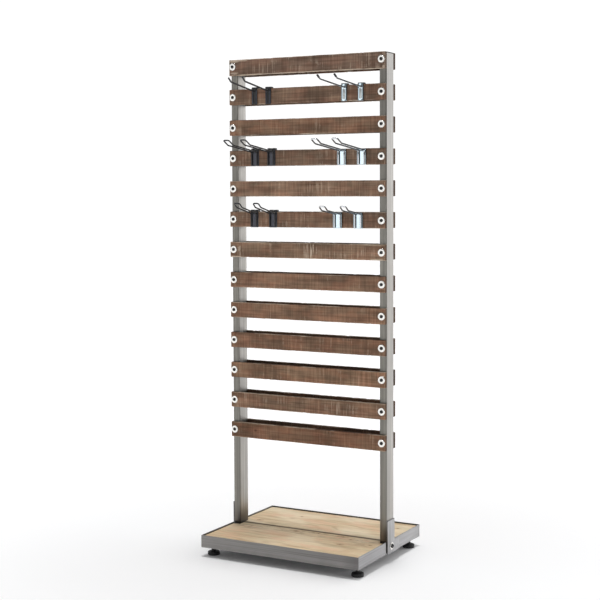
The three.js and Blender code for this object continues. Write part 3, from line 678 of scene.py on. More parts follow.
# --------------------------------------------------------------------- slats
def slat_mesh(side, n, seed, wear=1.0):
    """A sawn slat: arrises rounded and nibbled, faces gently uneven, with the
    two bolt holes through it."""
    sgn = -1 if side == "front" else 1
    zb = slat_z(n)
    z0, z1 = slat_bottom(n), slat_top(n)
    r = 1.5
    xs = {-HALF_W, HALF_W}
    for s in (-1, 1):
        for d in (-8, -4, 0, 4, 8):
            xs.add(s * UP_X + d)
        xs.add(s * (HALF_W - 0.5))
        xs.add(s * (HALF_W - 2.0))
    x = -256.0
    while x <= 256.0:
        xs.add(x)
        x += 6.4
    xs = sorted(xs)
    zs = [z0 + r] + [zb + d for d in (-17, -8, -4, 0, 4, 8, 16.5)] + [z1 - r]
    yin, yout = SLAT_Y, SLAT_FACE
    loop = []                                     # (depth, z, kind) round the section
    for z in zs:
        loop.append((yout, z, "face"))
    for a in (25, 50, 75):
        w = math.radians(a)
        loop.append((yout - r + r * math.cos(w), z1 - r + r * math.sin(w), "edge"))
    for y in (yout - r, yin + r):
        loop.append((y, z1, "top"))
    for a in (15, 40, 65):
        w = math.radians(a)
        loop.append((yin + r - r * math.sin(w), z1 - r + r * math.cos(w), "edge"))
    for z in reversed(zs):
        loop.append((yin, z, "face"))
    for a in (25, 50, 75):
        w = math.radians(a)
        loop.append((yin + r - r * math.cos(w), z0 + r - r * math.sin(w), "edge"))
    for y in (yin + r, yout - r):
        loop.append((y, z0, "top"))
    for a in (15, 40, 65):
        w = math.radians(a)
        loop.append((yout - r + r * math.sin(w), z0 + r - r * math.cos(w), "edge"))
    m = len(loop)
    zc, yc = (z0 + z1) / 2, (yin + yout) / 2
    verts = []
    for i, x in enumerate(xs):
        end = 1.0 if HALF_W - abs(x) > 0.4 else 0.0
        for y, z, kind in loop:
            q = Vector((x * 0.045 + seed * 7.1, y * 0.35 + seed, z * 0.12))
            nearhole = min(abs(abs(x) - UP_X) / 12.0, 1.0) if kind == "face" else 1.0
            yy, zz = y, z
            if kind in ("edge", "top"):
                a = noise.noise(q) * 0.5 + noise.noise(q * 3.1) * 0.35
                nib = max(0.0, noise.noise(Vector((x * 0.11 + seed * 3, z * 0.4, y * 0.2))) - 0.28) * 3.4
                d = (0.28 + 0.45 * a + nib) * wear
                d = max(0.0, d)
                zz += -d if z > zc else d
                if kind == "edge":
                    yy += (-0.4 * d if y > yc else 0.4 * d)
            else:
                d = (0.10 + 0.14 * noise.noise(Vector((x * 0.02 + seed, z * 0.05, y)))) * nearhole
                yy += -max(0.0, d) if y > yc else max(0.0, d)
            if not end:
                yy = yc + (yy - yc) * 0.93
                zz = zc + (zz - zc) * 0.984
            verts.append(Vector((x, sgn * yy, zz)))
    skip = set()
    holes = []
    nz = len(zs)
    back0 = nz + 3 + 2 + 3
    for s in (-1, 1):
        cols = [xs.index(s * UP_X + d) for d in (-8, -4, 0, 4, 8)]
        rings = []
        for front in (True, False):
            rows = list(range(2, 7)) if front else [back0 + nz - 1 - j for j in range(2, 7)]
            for a in range(4):
                for b in range(4):
                    skip.add((cols[a], min(rows[b], rows[b + 1])))
            path = [(cols[i], rows[0]) for i in range(4)] + [(cols[4], rows[j]) for j in range(4)]
            path += [(cols[i], rows[4]) for i in range(4, 0, -1)] + [(cols[0], rows[j]) for j in range(4, 0, -1)]
            ids = [c * m + j for c, j in path]
            hole = []
            for v in ids:
                w = math.atan2(verts[v].z - zb, verts[v].x - s * UP_X)
                hole.append(len(verts))
                verts.append(Vector((s * UP_X + 3.6 * math.cos(w), verts[v].y, zb + 3.6 * math.sin(w))))
            rings.append((ids, hole))
        holes.append(rings)
    faces = []
    for i in range(len(xs) - 1):
        for j in range(m):
            if (i, j) in skip:
                continue
            k = (j + 1) % m
            faces.append((i * m + j, (i + 1) * m + j, (i + 1) * m + k, i * m + k))
    faces.append(tuple(range(m)))
    faces.append(tuple((len(xs) - 1) * m + j for j in range(m - 1, -1, -1)))
    for rings in holes:
        for ids, hole in rings:
            for j in range(16):
                k = (j + 1) % 16
                faces.append((ids[j], ids[k], hole[k], hole[j]))
        a, b = rings[0][1], rings[1][1]
        for j in range(16):
            k = (j + 1) % 16
            faces.append((a[j], a[k], b[k], b[j]))
    return verts, faces


SLATS_FRONT = {
    # n: colour as seen, warm, top_wear, low_wear, end_wear, patches, streaks, knots, scuff
    1: dict(base=(109, 88, 75), warm=0.5, top_wear=0.5, low_wear=0.45, end_wear=0.9,
            patches=[(-0.265, 0.021, 0.018, 0.006, 0.8), (-0.235, 0.022, 0.03, 0.003, 0.6), (-0.20, -0.0245, 0.09, 0.0020, 1.0), (-0.06, -0.0245, 0.08, 0.0018, 1.0),
                     (0.05, -0.0245, 0.07, 0.0017, 1.0), (0.17, -0.0243, 0.06, 0.0014, 0.9), (0.278, -0.021, 0.004, 0.006, 0.6), (-0.262, -0.018, 0.02, 0.005, 0.6)],
            streaks=[(-0.155, -0.006, 0.045, 0.02, 0.45), (-0.03, -0.01, 0.03, 0.012, 0.3)], scuff=0.5),
    2: dict(base=(113, 90, 75), warm=0.8, top_wear=0.3, low_wear=0.3, scuff=0.25),
    3: dict(base=(116, 91, 74), warm=0.7, top_wear=0.35, low_wear=0.3, scuff=0.2),
    4: dict(base=(103, 83, 69), warm=0.6, top_wear=0.35, low_wear=0.3, scuff=0.25),
    5: dict(base=(125, 101, 84), warm=0.5, top_wear=0.5, low_wear=0.4, streaks=[(0.05, 0, 0.06, 0.02, 0.4)], scuff=0.45),
    6: dict(base=(109, 87, 72), warm=0.5, top_wear=0.4, low_wear=0.4, scuff=0.35),
    7: dict(base=(119, 96, 79), warm=0.6, top_wear=0.85, low_wear=0.75,
            patches=[(-0.262, -0.0235, 0.026, 0.0026, 1.0), (-0.20, 0.0238, 0.085, 0.0018, 1.0), (0.235, 0.0236, 0.05, 0.0018, 1.0),
                     (0.255, -0.0236, 0.03, 0.0024, 1.0), (-0.248, 0.004, 0.006, 0.010, 0.6)],
            streaks=[(0.015, 0.001, 0.030, 0.030, 1.0), (0.10, -0.012, 0.06, 0.012, 0.45), (-0.245, 0.0, 0.012, 0.02, 0.7), (0.225, 0.0, 0.03, 0.016, 0.6)], scuff=0.45),
    8: dict(base=(124, 97, 79), warm=0.6, top_wear=0.3, low_wear=0.5, scuff=0.2),
    9: dict(base=(121, 95, 77), warm=0.6, top_wear=0.5, low_wear=0.4, scuff=0.2),
    10: dict(base=(114, 88, 71), warm=0.8, top_wear=0.35, low_wear=0.35, scuff=0.2),
    11: dict(base=(123, 97, 78), warm=0.6, top_wear=0.45, low_wear=0.4, scuff=0.25),
    12: dict(base=(118, 94, 77), warm=0.5, top_wear=0.85, low_wear=0.45,
             streaks=[(0.12, 0.0, 0.07, 0.02, 0.5), (-0.12, 0.006, 0.05, 0.014, 0.4)], scuff=0.4),
    13: dict(base=(111, 84, 67), warm=0.8, top_wear=0.5, low_wear=0.35, knots=[(-0.19, 0.002, 0.004)], scuff=0.15),
}
WOOD_GAIN = 1.54          # the seen colour is dimmer than the wood's own

for side in ("front", "back"):
    for n in range(1, 14):
        node = f"slat_{side}_{n:02d}"
        seed = n * 1.7 + (0 if side == "front" else 31.3)
        spec = dict(SLATS_FRONT[n] if side == "front" else SLATS_FRONT[(n * 5) % 13 + 1])
        if side == "back":
            spec.pop("patches", None)
        col = lin(*spec.pop("base"))
        base = tuple(c * WOOD_GAIN for c in col[:3])
        mat = slat_material(f"sawn_wood_{side}_{n:02d}", seed, n, base, inner=1.0 if side == "front" else -1.0, **spec)
        B = Build()
        B.add(*slat_mesh(side, n, seed, 1.3 if n in (1, 7, 12) else 1.0))
        B.piece(f"{side}_slat_{n:02d}", [mat], "stand", node, "slat_wood", 40)

# ------------------------------------------------------------------ uprights
for side, sx in (("left", -1), ("right", 1)):
    cx = sx * UP_X

    def rect(w, d, r):
        pts = [(-w / 2, -d / 2), (w / 2, -d / 2), (w / 2, d / 2), (-w / 2, d / 2)]
        return fillet2(pts, r, 5)

    outer, inner = rect(UP_W, UP_D, 2.6), rect(UP_W - 2 * UP_T, UP_D - 2 * UP_T, 1.2)
    k = len(outer)
    verts, faces = [], []
    stations = [(UP_Z0, 0.35), (UP_Z0 + 0.35, 0.0)]
    z = UP_Z0 + 40
    while z < UP_TOP - 20:
        stations.append((z, 0.0))
        z += 60
    stations += [(UP_TOP - 0.35, 0.0), (UP_TOP, 0.35)]
    for z, d in stations:
        f = 1 - d / 12.0
        verts += [Vector((cx + p[0] * f, p[1] * (1 - d / 25.0), z)) for p in outer]
    for z, d in stations:
        verts += [Vector((cx + p[0], p[1], z)) for p in inner]
    ns = len(stations)
    for i in range(ns - 1):
        for j in range(k):
            q = (j + 1) % k
            faces.append((i * k + j, i * k + q, (i + 1) * k + q, (i + 1) * k + j))
            o = ns * k
            faces.append((o + i * k + j, o + (i + 1) * k + j, o + (i + 1) * k + q, o + i * k + q))
    for i in (0, ns - 1):
        for j in range(k):
            q = (j + 1) % k
            faces.append((i * k + j, i * k + q, ns * k + i * k + q, ns * k + i * k + j))
    B = Build()
    B.add(verts, faces)
    C = Build()
    for n in range(1, 14):
        C.add(*cyl(lambda a, b, h, zz=slat_z(n): Vector((cx + a, h, zz + b)), 3.6, -30, 30, 16))
    D = Build()
    D.add(*cyl(lambda a, b, h: Vector((sx * h, 3 + a, 52 + b)), 4.6, HALF_W - 6, HALF_W + 4, 20))
    B.piece(f"tube_upright_{side}", [STEEL_Z], "stand", f"upright_{side}", "frame_steel", 30, [C, D])

    # push-in cap: thin visible lid with softened rim, plug below
    cap = Build()
    cap.add(*prism(rect(UP_W - 0.2, UP_D - 0.2, 2.6), lambda a, b, h: Vector((cx + a, b, UP_TOP + GAP + h)), 2.7, 0.9, 3))
    cap.add(*prism(rect(UP_W - 4.8, UP_D - 4.8, 1.4), lambda a, b, h: Vector((cx + a, b, UP_TOP - 8 + h)), 9.0, 0.5, 2))
    cap.piece(f"push_in_cap_{side}", [PLASTIC], "stand", f"end_cap_{side}", "black_plastic", 35)


# ------------------------------------------------------ bolts and washers
def washer_parts(place):
    """Domed zinc washer. place(a, b, h): h grows away from the wood."""
    R, t = WASHER_R, WASHER_T
    prof = [(3.4, 0.0), (R - 0.3, 0.0), (R, 0.3), (R, 1.1), (R - 0.25, 1.42), (R - 0.7, 1.55), (R - 3.0, 1.6), (4.4, t), (3.7, 1.45), (3.4, 1.1)]
    return lathe(prof, place, 40, closed=True)


def head_parts(place, r=HEAD_R, t=HEAD_T, socket=2.6, deep=2.0):
    """Button head with a hexagon socket, one closed shell."""
    seg = 36
    verts, faces = [], []
    rows = []
    prof = [(0.0, -0.15), (r - 0.25, -0.15), (r, 0.15), (r * 0.985, 0.6), (r * 0.90, t * 0.55), (r * 0.74, t * 0.84), (r * 0.6, t)]
    for q, h in prof:
        if q == 0:
            rows.append([len(verts)])
            verts.append(place(0, 0, h))
        else:
            rows.append([len(verts) + j for j in range(seg)])
            verts += [place(q * math.cos(2 * math.pi * j / seg), q * math.sin(2 * math.pi * j / seg), h) for j in range(seg)]
    hexr = []
    for j in range(seg):
        w = 2 * math.pi * j / seg
        hexr.append(socket / math.cos(((w + math.pi / 6) % (math.pi / 3)) - math.pi / 6))
    for h in (t - 0.02, t - deep):
        rows.append([len(verts) + j for j in range(seg)])
        verts += [place(hexr[j] * math.cos(2 * math.pi * j / seg), hexr[j] * math.sin(2 * math.pi * j / seg), h) for j in range(seg)]
    rows.append([len(verts)])
    verts.append(place(0, 0, t - deep - 0.5))
    for a, b in zip(rows, rows[1:]):
        for j in range(seg):
            k = (j + 1) % seg
            if len(a) == 1:
                faces.append((a[0], b[k], b[j]))
            elif len(b) == 1:
                faces.append((a[j], a[k], b[0]))
            else:
                faces.append((a[j], a[k], b[k], b[j]))
    return verts, faces


for side, sx in (("left", -1), ("right", 1)):
    for n in range(1, 14):
        spin = 0.37 * n + (0.9 if sx > 0 else 0.2)
        ca, sa = math.cos(spin), math.sin(spin)
        bolt = Build()
        for s in (-1, 1):
            y0 = SLAT_FACE + GAP

            def place(a, b, h, s=s, n=n):
                return Vector((sx * UP_X + (a * ca - b * sa), s * (y0 + h), slat_z(n) + (a * sa + b * ca)))

            W = Build()
            W.add(*washer_parts(place))
            W.piece(f"washer_{'front' if s < 0 else 'back'}_{side}_{n:02d}", [ZINC], "stand", f"slat_bolts_{side}", "zinc_fastener", 35)
            bolt.add(*head_parts(lambda a, b, h: place(a, b, h + WASHER_T)))
        bolt.add(*cyl(lambda a, b, h, n=n: Vector((sx * UP_X + a, h, slat_z(n) + b)), 3.0, -SLAT_FACE - GAP - WASHER_T - 0.1, SLAT_FACE + GAP + WASHER_T + 0.1, 16))
        bolt.piece(f"through_bolt_{side}_{n:02d}", [OXIDE], "stand", f"slat_bolts_{side}", "zinc_fastener", 32)

    # bolt of the joining plate, with its rivet nut inside the tube wall
    face = HALF_W + GAP + 3 + GAP

    def side_place(a, b, h):
        return Vector((sx * (face + h), 3 + a, 52 + b))

    W = Build()
    W.add(*washer_parts(side_place))
    W.piece(f"plate_washer_{side}", [ZINC], "stand", f"plate_bolt_{side}", "zinc_fastener", 35)
    bolt = Build()
    bolt.add(*head_parts(lambda a, b, h: side_place(a, b, h + WASHER_T), 7.0, 4.2, 3.0, 2.6))
    bolt.add(*cyl(lambda a, b, h: side_place(a, b, h), 3.9, -15.0, WASHER_T + 0.1, 20))
    bolt.piece(f"plate_screw_{side}", [OXIDE], "stand", f"plate_bolt_{side}", "zinc_fastener", 32)
    nut = Build()
    nut.add(*lathe([(4.0, -15.4), (6.2, -15.4), (6.5, -15.0), (6.5, -7.0), (6.2, -6.2), (4.0, -6.2)], side_place, 24, closed=True))
    nut.piece(f"rivet_nut_{side}", [ZINC], "stand", f"plate_bolt_{side}", "zinc_fastener", 32)

# ---------------------------------------------------------------- base boards
BOARD_KNOTS = {
    "front": [(-0.045, -0.026, 0.009), (0.035, -0.020, 0.006), (0.1247, -0.020, 0.007), (0.162, -0.040, 0.005), (0.1575, -0.107, 0.0065), (0.247, -0.073, 0.0045)],
    "back": [(-0.225, 0.045, 0.006), (-0.12, 0.15, 0.004), (0.235, 0.16, 0.005)],
}
for side, sy in (("front", -1), ("back", 1)):
    mat = board_material(f"tan_board_{side}", 3.3 if sy < 0 else 8.1, BOARD_KNOTS[side])
    bx, by = HALF_W - 3 - GAP, HALF_D - 3 - GAP
    z0, z1 = 33.3, 66.0
    r = 1.8
    # plan lines, with the notch round each upright cut square
    nx, ny = HALF_W - UP_W - 0.8, UP_D / 2 + 0.8
    if sy < 0:
        ny = UP_D / 2 + 7.5
    outline = [(-bx, ny), (-nx, ny), (-nx, 0.5), (nx, 0.5), (nx, ny), (bx, ny), (bx, by), (-bx, by)]
    outline = fillet2(outline, [1.0, 0.6, 1.0, 1.0, 0.6, 1.0, 1.5, 1.5], 3)
    dense = []
    for i, p in enumerate(outline):                # break the long edges so they can waver
        q = outline[(i + 1) % len(outline)]
        steps = max(1, int((q - p).length / 9.0))
        for s in range(steps):
            dense.append(p + (q - p) * (s / steps))
    B = Build()
    v, f = prism(dense, lambda a, b, h: Vector((a, sy * b, z0 + h)), z1 - z0, r, 3)
    out = []
    for p in v:
        w = noise.noise(Vector((p.x * 0.03, p.y * 0.05 + 9 * sy, 0.3))) * 0.5
        if p.z > z1 - 2.5 or abs(p.y) < 2.5:
            p = p + Vector((0, sy * max(0.0, w) * (1.0 if abs(p.y) < 6 else 0.0), -abs(w) * 0.5 * (1 if p.z > z1 - 2.5 else 0)))
        out.append(p)
    B.add(out, f)
    C = Build()
    for sx in (-1, 1):
        C.add(*cyl(lambda a, b, h, sx=sx: Vector((sx * 261 + a, sy * 188 + b, h)), 8.0, z0 - 4, 47, 24))
    B.piece(f"deck_board_{side}", [mat], "stand", f"base_board_{side}", "base_wood", 35, [C])

# --------------------------------------- base frame and joining plates
def bead(points, r, seed):
    """A hand-laid weld run: a lumpy bar sunk into the corner it fills."""
    pts = []
    for a, b in zip(points, points[1:]):
        a, b = Vector(a), Vector(b)
        steps = max(2, int((b - a).length / 1.6))
        for s in range(steps):
            pts.append(a + (b - a) * (s / steps))
    pts.append(Vector(points[-1]))
    v, f = sweep(pts, r, 8)
    return [p + Vector((noise.noise(p * 0.6 + Vector((seed, 0, 0))), noise.noise(p * 0.6 + Vector((0, seed, 0))),
                        noise.noise(p * 0.6 + Vector((0, 0, seed))))) * 0.35 for p in v], f


def brick(x0, x1, y0, y1, z0, z1):
    v = [Vector((x, y, z)) for x in (x0, x1) for y in (y0, y1) for z in (z0, z1)]
    return v, [(0, 1, 3, 2), (4, 6, 7, 5), (0, 4, 5, 1), (2, 3, 7, 6), (0, 2, 6, 4), (1, 5, 7, 3)]


# rolled angle 40 x 40 x 3: heel and toes rounded, root filleted. a runs inward
# from the outer face of the leg, b up from the underside.
ANGLE = fillet2([(0, 0), (40, 0), (40, 3), (3, 3), (3, 40), (0, 40)], [1.5, 0.5, 1.3, 3.2, 1.3, 0.5], 5)

for side, sy in (("front", -1), ("back", 1)):
    B = Build()
    B.add(*prism(ANGLE, lambda a, b, h: Vector((-HALF_W + h, sy * (HALF_D - a), 30 + b)), 2 * HALF_W, 0.3, 2))
    cuts = []
    for sx in (-1, 1):
        C = Build()
        C.add(*brick(sx * 242.7, sx * 290, sy * (HALF_D - 3.02), sy * 180, 28, 35))
        cuts.append(C)
    B.piece(f"angle_rail_{side}", [STEEL_RAIL[side]], "stand", f"base_rail_{side}", "frame_steel", 30, cuts)

for side, sx in (("left", -1), ("right", 1)):
    B = Build()
    B.add(*prism(ANGLE, lambda a, b, h: Vector((sx * (HALF_W - a), -224.7 + h, 30 + b)), 449.4, 0.3, 2))
    cuts = []
    C = Build()
    C.add(*brick(sx * 280, sx * 290, -32.5, 25.6, 28, 75))
    cuts.append(C)
    C = Build()
    for sy in (-1, 1):
        C.add(*cyl(lambda a, b, h, sy=sy: Vector((sx * 261 + a, sy * 188 + b, h)), 5.2, 28, 35, 20))
    cuts.append(C)
    B.piece(f"angle_rail_{side}", [STEEL_RAIL[side]], "stand", f"base_rail_{side}", "frame_steel", 30, cuts)
    W = Build()
    for sy in (-1, 1):
        W.add(*bead([(sx * 279.5, sy * 224.5, 67.0), (sx * 279.5, sy * 224.5, 34.5)], 1.2, sx + 2 * sy))
    W.add(*bead([(sx * 283.5, 60.6, 32.0), (sx * 283.5, 60.6, 66.0)], 1.1, 3 + sx))
    W.piece(f"weld_beads_{side}", [STEEL_P], "stand", f"base_rail_{side}", "frame_steel", 60)

    plate = fillet2([(-25, 30), (60, 30), (60, 68), (25, 68), (25, 137), (-25, 137)], [1.0, 1.4, 1.4, 2.2, 1.4, 1.4], 4)
    B = Build()
    B.add(*prism(plate, lambda a, b, h: Vector((sx * (HALF_W + GAP + h), a, b)), 3.0, 0.5, 2))
    C = Build()
    C.add(*cyl(lambda a, b, h: Vector((sx * h, 3 + a, 52 + b)), 4.6, HALF_W - 3, HALF_W + 8, 20))
    B.piece(f"lap_plate_{side}", [STEEL_P], "stand", f"joining_plate_{side}", "frame_steel", 30, [C])

# ---------------------------------------------------------- levelling feet
for name, sx, sy in (("front_left", -1, -1), ("front_right", 1, -1), ("back_left", -1, 1), ("back_right", 1, 1)):
    B = Build()
    cx, cy = sx * 261.0, sy * 188.0
    seg = 72
    prof = [(0.0, 0.0), (17.6, 0.0), (18.9, 0.5), (19.6, 1.8), (19.7, 8.0), (19.3, 9.6), (18.2, 11.0), (16.4, 11.8), (12.0, 12.4), (8.4, 12.9), (0.0, 13.2)]
    verts, faces, rows = [], [], []
    for r, h in prof:
        if r == 0:
            rows.append([len(verts)])
            verts.append(Vector((cx, cy, h)))
            continue
        rows.append([len(verts) + j for j in range(seg)])
        for j in range(seg):
            w = 2 * math.pi * j / seg
            flute = (0.42 if (j % 4) in (0, 1) else 0.0) if 1.0 < h < 8.5 else 0.0
            verts.append(Vector((cx + (r - flute) * math.cos(w), cy + (r - flute) * math.sin(w), h)))
    for a, b in zip(rows, rows[1:]):
        for j in range(seg):
            k = (j + 1) % seg
            if len(a) == 1:
                faces.append((a[0], b[k], b[j]))
            elif len(b) == 1:
                faces.append((a[j], a[k], b[0]))
            else:
                faces.append((a[j], a[k], b[k], b[j]))
    B.add(verts, faces, 0)
    # hexagon above the pad, then the threaded stud
    hexo = fillet2([(8.0 * math.cos(math.radians(60 * i)), 8.0 * math.sin(math.radians(60 * i))) for i in range(6)], 0.6, 3)
    B.add(*prism(hexo, lambda a, b, h: Vector((cx + a, cy + b, 13.2 + h)), 4.6, 0.5, 2), 1)
    stud = [(0.0, 16.0), (3.4, 16.0)]
    h = 17.8
    while h < 43.0:
        stud += [(3.4, h), (3.95, h + 0.42), (3.95, h + 0.6), (3.4, h + 1.02)]
        h += 1.25
    stud += [(3.2, 43.6), (0.0, 44.0)]
    B.add(*lathe(stud, lambda a, b, h: Vector((cx + a, cy + b, h)), 18), 1)
    B.piece(f"levelling_foot_{name}", [RUBBER, OXIDE], f"foot_{name}", f"foot_{name}", "foot_plastic", 32)

# --------------------------------------------------------------------- hooks
HOOK_Y = -(SLAT_FACE + GAP)
PLATE_T, TOP_T, LEG = 2.5, 4.4, 24.0
Y_PLATE = HOOK_Y - PLATE_T
HOOKS = [
    ("single_black_1", 2, -185.6), ("single_black_2", 2, -134.3), ("single_chrome_1", 2, 141.6), ("single_chrome_2", 2, 199.8),
    ("long_black_1", 4, -185.8), ("long_black_2", 4, -124.5), ("long_chrome_1", 4, 133.4), ("long_chrome_2", 4, 203.5),
    ("short_black_1", 6, -189.3), ("short_black_2", 6, -118.9), ("short_chrome_1", 6, 118.2), ("short_chrome_2", 6, 190.7),
]
for key, n, x in HOOKS:
    top, bottom = slat_top(n), slat_bottom(n)
    chrome = "chrome" in key
    mat = CHROME if chrome else POWDER
    node = f"hook_{key}"
    slot = "hook_chrome" if chrome else "hook_black"
    B = Build()
    if key.startswith("single"):
        w = (19.6 if chrome else 20.6)
        zt = top + GAP
        prof = [(Y_PLATE, bottom - 0.4), (HOOK_Y, bottom - 0.4), (HOOK_Y, zt + 0.6), (-25.0, zt + 0.6), (-25.0, zt - LEG),
                (-22.6, zt - LEG), (-22.6, zt + TOP_T - 0.1), (Y_PLATE, zt + TOP_T - 0.1)]
        prof = fillet2(prof, [0.9, 0.9, 0.8, 0.8, 0.9, 0.9, 2.6, 2.8], 5)
        B.add(*prism(prof, lambda a, b, h: Vector((x - w / 2 + h, a, b)), w, 0.6, 2))
        # a round-bottomed flute pressed down the middle of the face
        fw, fd = (4.6, 1.7) if chrome else (6.0, 1.5)
        rad = (fw * fw + fd * fd) / (2 * fd)
        arc = []
        half = math.asin(min(1.0, fw / rad))
        for i in range(13):
            w_ = -half + 2 * half * i / 12
            arc.append((rad * math.sin(w_), rad * math.cos(w_) - (rad - fd)))
        shape = [(-fw, -1.5)] + arc + [(fw, -1.5)]
        G = Build()
        zlo, zhi = bottom + 5.0, top - 13.0
        G.add(*prism(shape, lambda a, b, h: Vector((x + a, Y_PLATE + b, zlo + h)), zhi - zlo, 0.02, 1))
        cuts = [G]
        if chrome:
            rec = fillet2([(-4.4, zlo), (4.4, zlo), (4.4, zhi), (-4.4, zhi)], 3.0, 6)
            G = Build()
            G.add(*prism(rec, lambda a, b, h: Vector((x + a, Y_PLATE - 1.0 + h, b)), 2.3, 0.03, 1))
            cuts = [G]
            T = Build()
            tongue = fillet2([(-3.7, zlo + 0.8), (3.7, zlo + 0.8), (3.7, zhi - 0.8), (-3.7, zhi - 0.8)], 2.6, 6)
            T.add(*prism(tongue, lambda a, b, h: Vector((x + a, Y_PLATE + 0.35 + h, b)), 1.5, 0.35, 2))
            T.piece(f"{node}_tongue", [NICKEL], node, node, slot, 35)
        if not chrome:                              # rolled edges down both sides, burnished lighter
            S = Build()
            for s in (-1, 1):
                strip = fillet2([(s * (w / 2 - 5.0), bottom + 1.2), (s * (w / 2 - 1.4), bottom + 1.2), (s * (w / 2 - 1.4), top - 4.0), (s * (w / 2 - 5.0), top - 4.0)], 1.5, 5)
                S.add(*prism(strip, lambda a, b, h: Vector((x + a, Y_PLATE - 0.55 + h, b)), 1.2, 0.5, 3))
            S.piece(f"{node}_rolls", [SATIN], node, node, slot, 35)
        body = B.piece(f"{node}_clip", [CHROME_CLIP if chrome else mat], node, node, slot, 35, cuts)
        R = Build()
        zs = top - 7.5
        bend = (-198.5, top + 6.5) if chrome else (-184.0, top + 12.0)
        tip = (-218.5, top + 18.5) if chrome else (-198.0, top + 23.5)
        path = fillet3([(x, Y_PLATE + 1.0, zs - 0.5), (x, -60.0, zs + 1.2), (x, bend[0], bend[1]), (x, tip[0], tip[1])], [90.0, 12.0], 10)
        rr = 2.3 if chrome else 2.7
        if chrome:
            d = Vector((0, tip[0] - bend[0], tip[1] - bend[1])).normalized()
            t0 = Vector((x, bend[0], bend[1])) + d * 9.5
            path[-1] = Vector((x, tip[0], tip[1])) - d * 3.0
        R.add(*sweep(path, rr, 16, ("flat", "round")))
        # weld fillet where the prong leaves the plate
        R.add(*lathe([(0, 0.2), (4.4, 0.2), (4.1, -0.6), (3.2, -1.5), (2.8, -2.6), (0, -2.6)],
                     lambda a, b, h: Vector((x + a, Y_PLATE + h, zs - 0.4 + b)), 24))
        R.piece(f"{node}_prong", [mat], node, node, slot, 35)
        if chrome:
            T = Build()
            T.add(*sweep([t0, t0 + d * 5, Vector((x, tip[0], tip[1])) - d * 2.6], 3.2, 18))
            T.piece(f"vinyl_sleeve_{key[-1]}", [VINYL], node, f"vinyl_tip_{key[-1]}", "black_plastic", 40)
    else:
        w = 31.0 if chrome else 27.0
        wide = 0.0 if chrome else 1.8               # the black plate reaches a little past its right-hand return, a dark strip that partly stands in for the shadow along the clip's right edge
        plate = fillet2([(-w / 2, bottom - 0.4), (w / 2 + wide, bottom - 0.4), (w / 2 + wide, top - 1), (-w / 2, top - 1)], 2.2, 5)
        B.add(*prism(plate, lambda a, b, h: Vector((x + a, Y_PLATE + 0.6 + h, b)), 1.8, 0.45, 2))
        if chrome:                                  # turned-in side flanges
            for s in (-1, 1):
                fl = fillet2([(s * w / 2 - s * 2.4, bottom + 0.4), (s * w / 2, bottom + 0.4), (s * w / 2, top - 1.8), (s * w / 2 - s * 2.4, top - 1.8)], 1.0, 4)
                B.add(*prism(fl, lambda a, b, h: Vector((x + a, Y_PLATE - 2.2 + h, b)), 4.6, 0.6, 3))
        zt = top + GAP
        ear = 12.3 if chrome else 8.8
        crown = TOP_T + (0.3 if chrome else 1.6)    # the black returns are folded over rounder
        prof = [(Y_PLATE, zt - 12), (HOOK_Y, zt - 12), (HOOK_Y, zt + 0.6), (-25.0, zt + 0.6), (-25.0, zt - LEG),
                (-22.6, zt - LEG), (-22.6, zt + crown), (Y_PLATE, zt + crown)]
        prof = fillet2(prof, [0.3, 0.3, 0.8, 0.8, 0.9, 0.9, 2.8, 3.2], 6)
        E = B if chrome else Build()
        for s in (-1, 1):                           # two folded returns over the slat, a slit between
            x0 = x + s * (w / 2 - 0.3) - (ear if s > 0 else 0)
            E.add(*prism(prof, lambda a, b, h: Vector((x0 + h, a, b)), ear, 0.9, 3))
        if not chrome:
            E.piece(f"{node}_returns", [POWDER], node, node, slot, 35)
        G = Build()                                 # pressed creases either side of the middle panel
        for s in (-1, 1):
            cr = fillet2([(s * 6.6 - 0.9, bottom + 1.5), (s * 6.6 + 0.9, bottom + 1.5), (s * 6.6 + 0.9, top - 13), (s * 6.6 - 0.9, top - 13)], 0.8, 4)
            G.add(*prism(cr, lambda a, b, h: Vector((x + a, Y_PLATE - 0.6 + h, b)), 2.3, 0.05, 1))
        B.piece(f"{node}_clip", [CHROME_CLIP if chrome else SATIN], node, node, slot, 35, [G])
        long = key.startswith("long")
        zs, yw = top - 6.0, Y_PLATE - 1.9
        yb, zb = ((-197.5, top + 11.0) if chrome else (-188.0, top + 12.3)) if long else ((-128.0, top + 6.0) if chrome else (-133.0, top + 15.0))
        ye, ze = ((-225.0, top + 25.0) if chrome else (-215.5, top + 27.0)) if long else ((-146.5, top + 19.0) if chrome else (-148.0, top + 28.0))
        k = 10.0
        half = lambda s: [(x + s * k, yw, bottom + 2.5), (x + s * k, yw, zs), (x + s * k, yb, zb), (x + s * k, ye, ze)]
        path = fillet3(half(-1) + half(1)[::-1], [7.0, 14.0, 6.5, 6.5, 14.0, 7.0], 9)
        R = Build()
        R.add(*sweep(path, 2.3, 16))
        R.piece(f"{node}_wire", [mat], node, node, slot, 35)

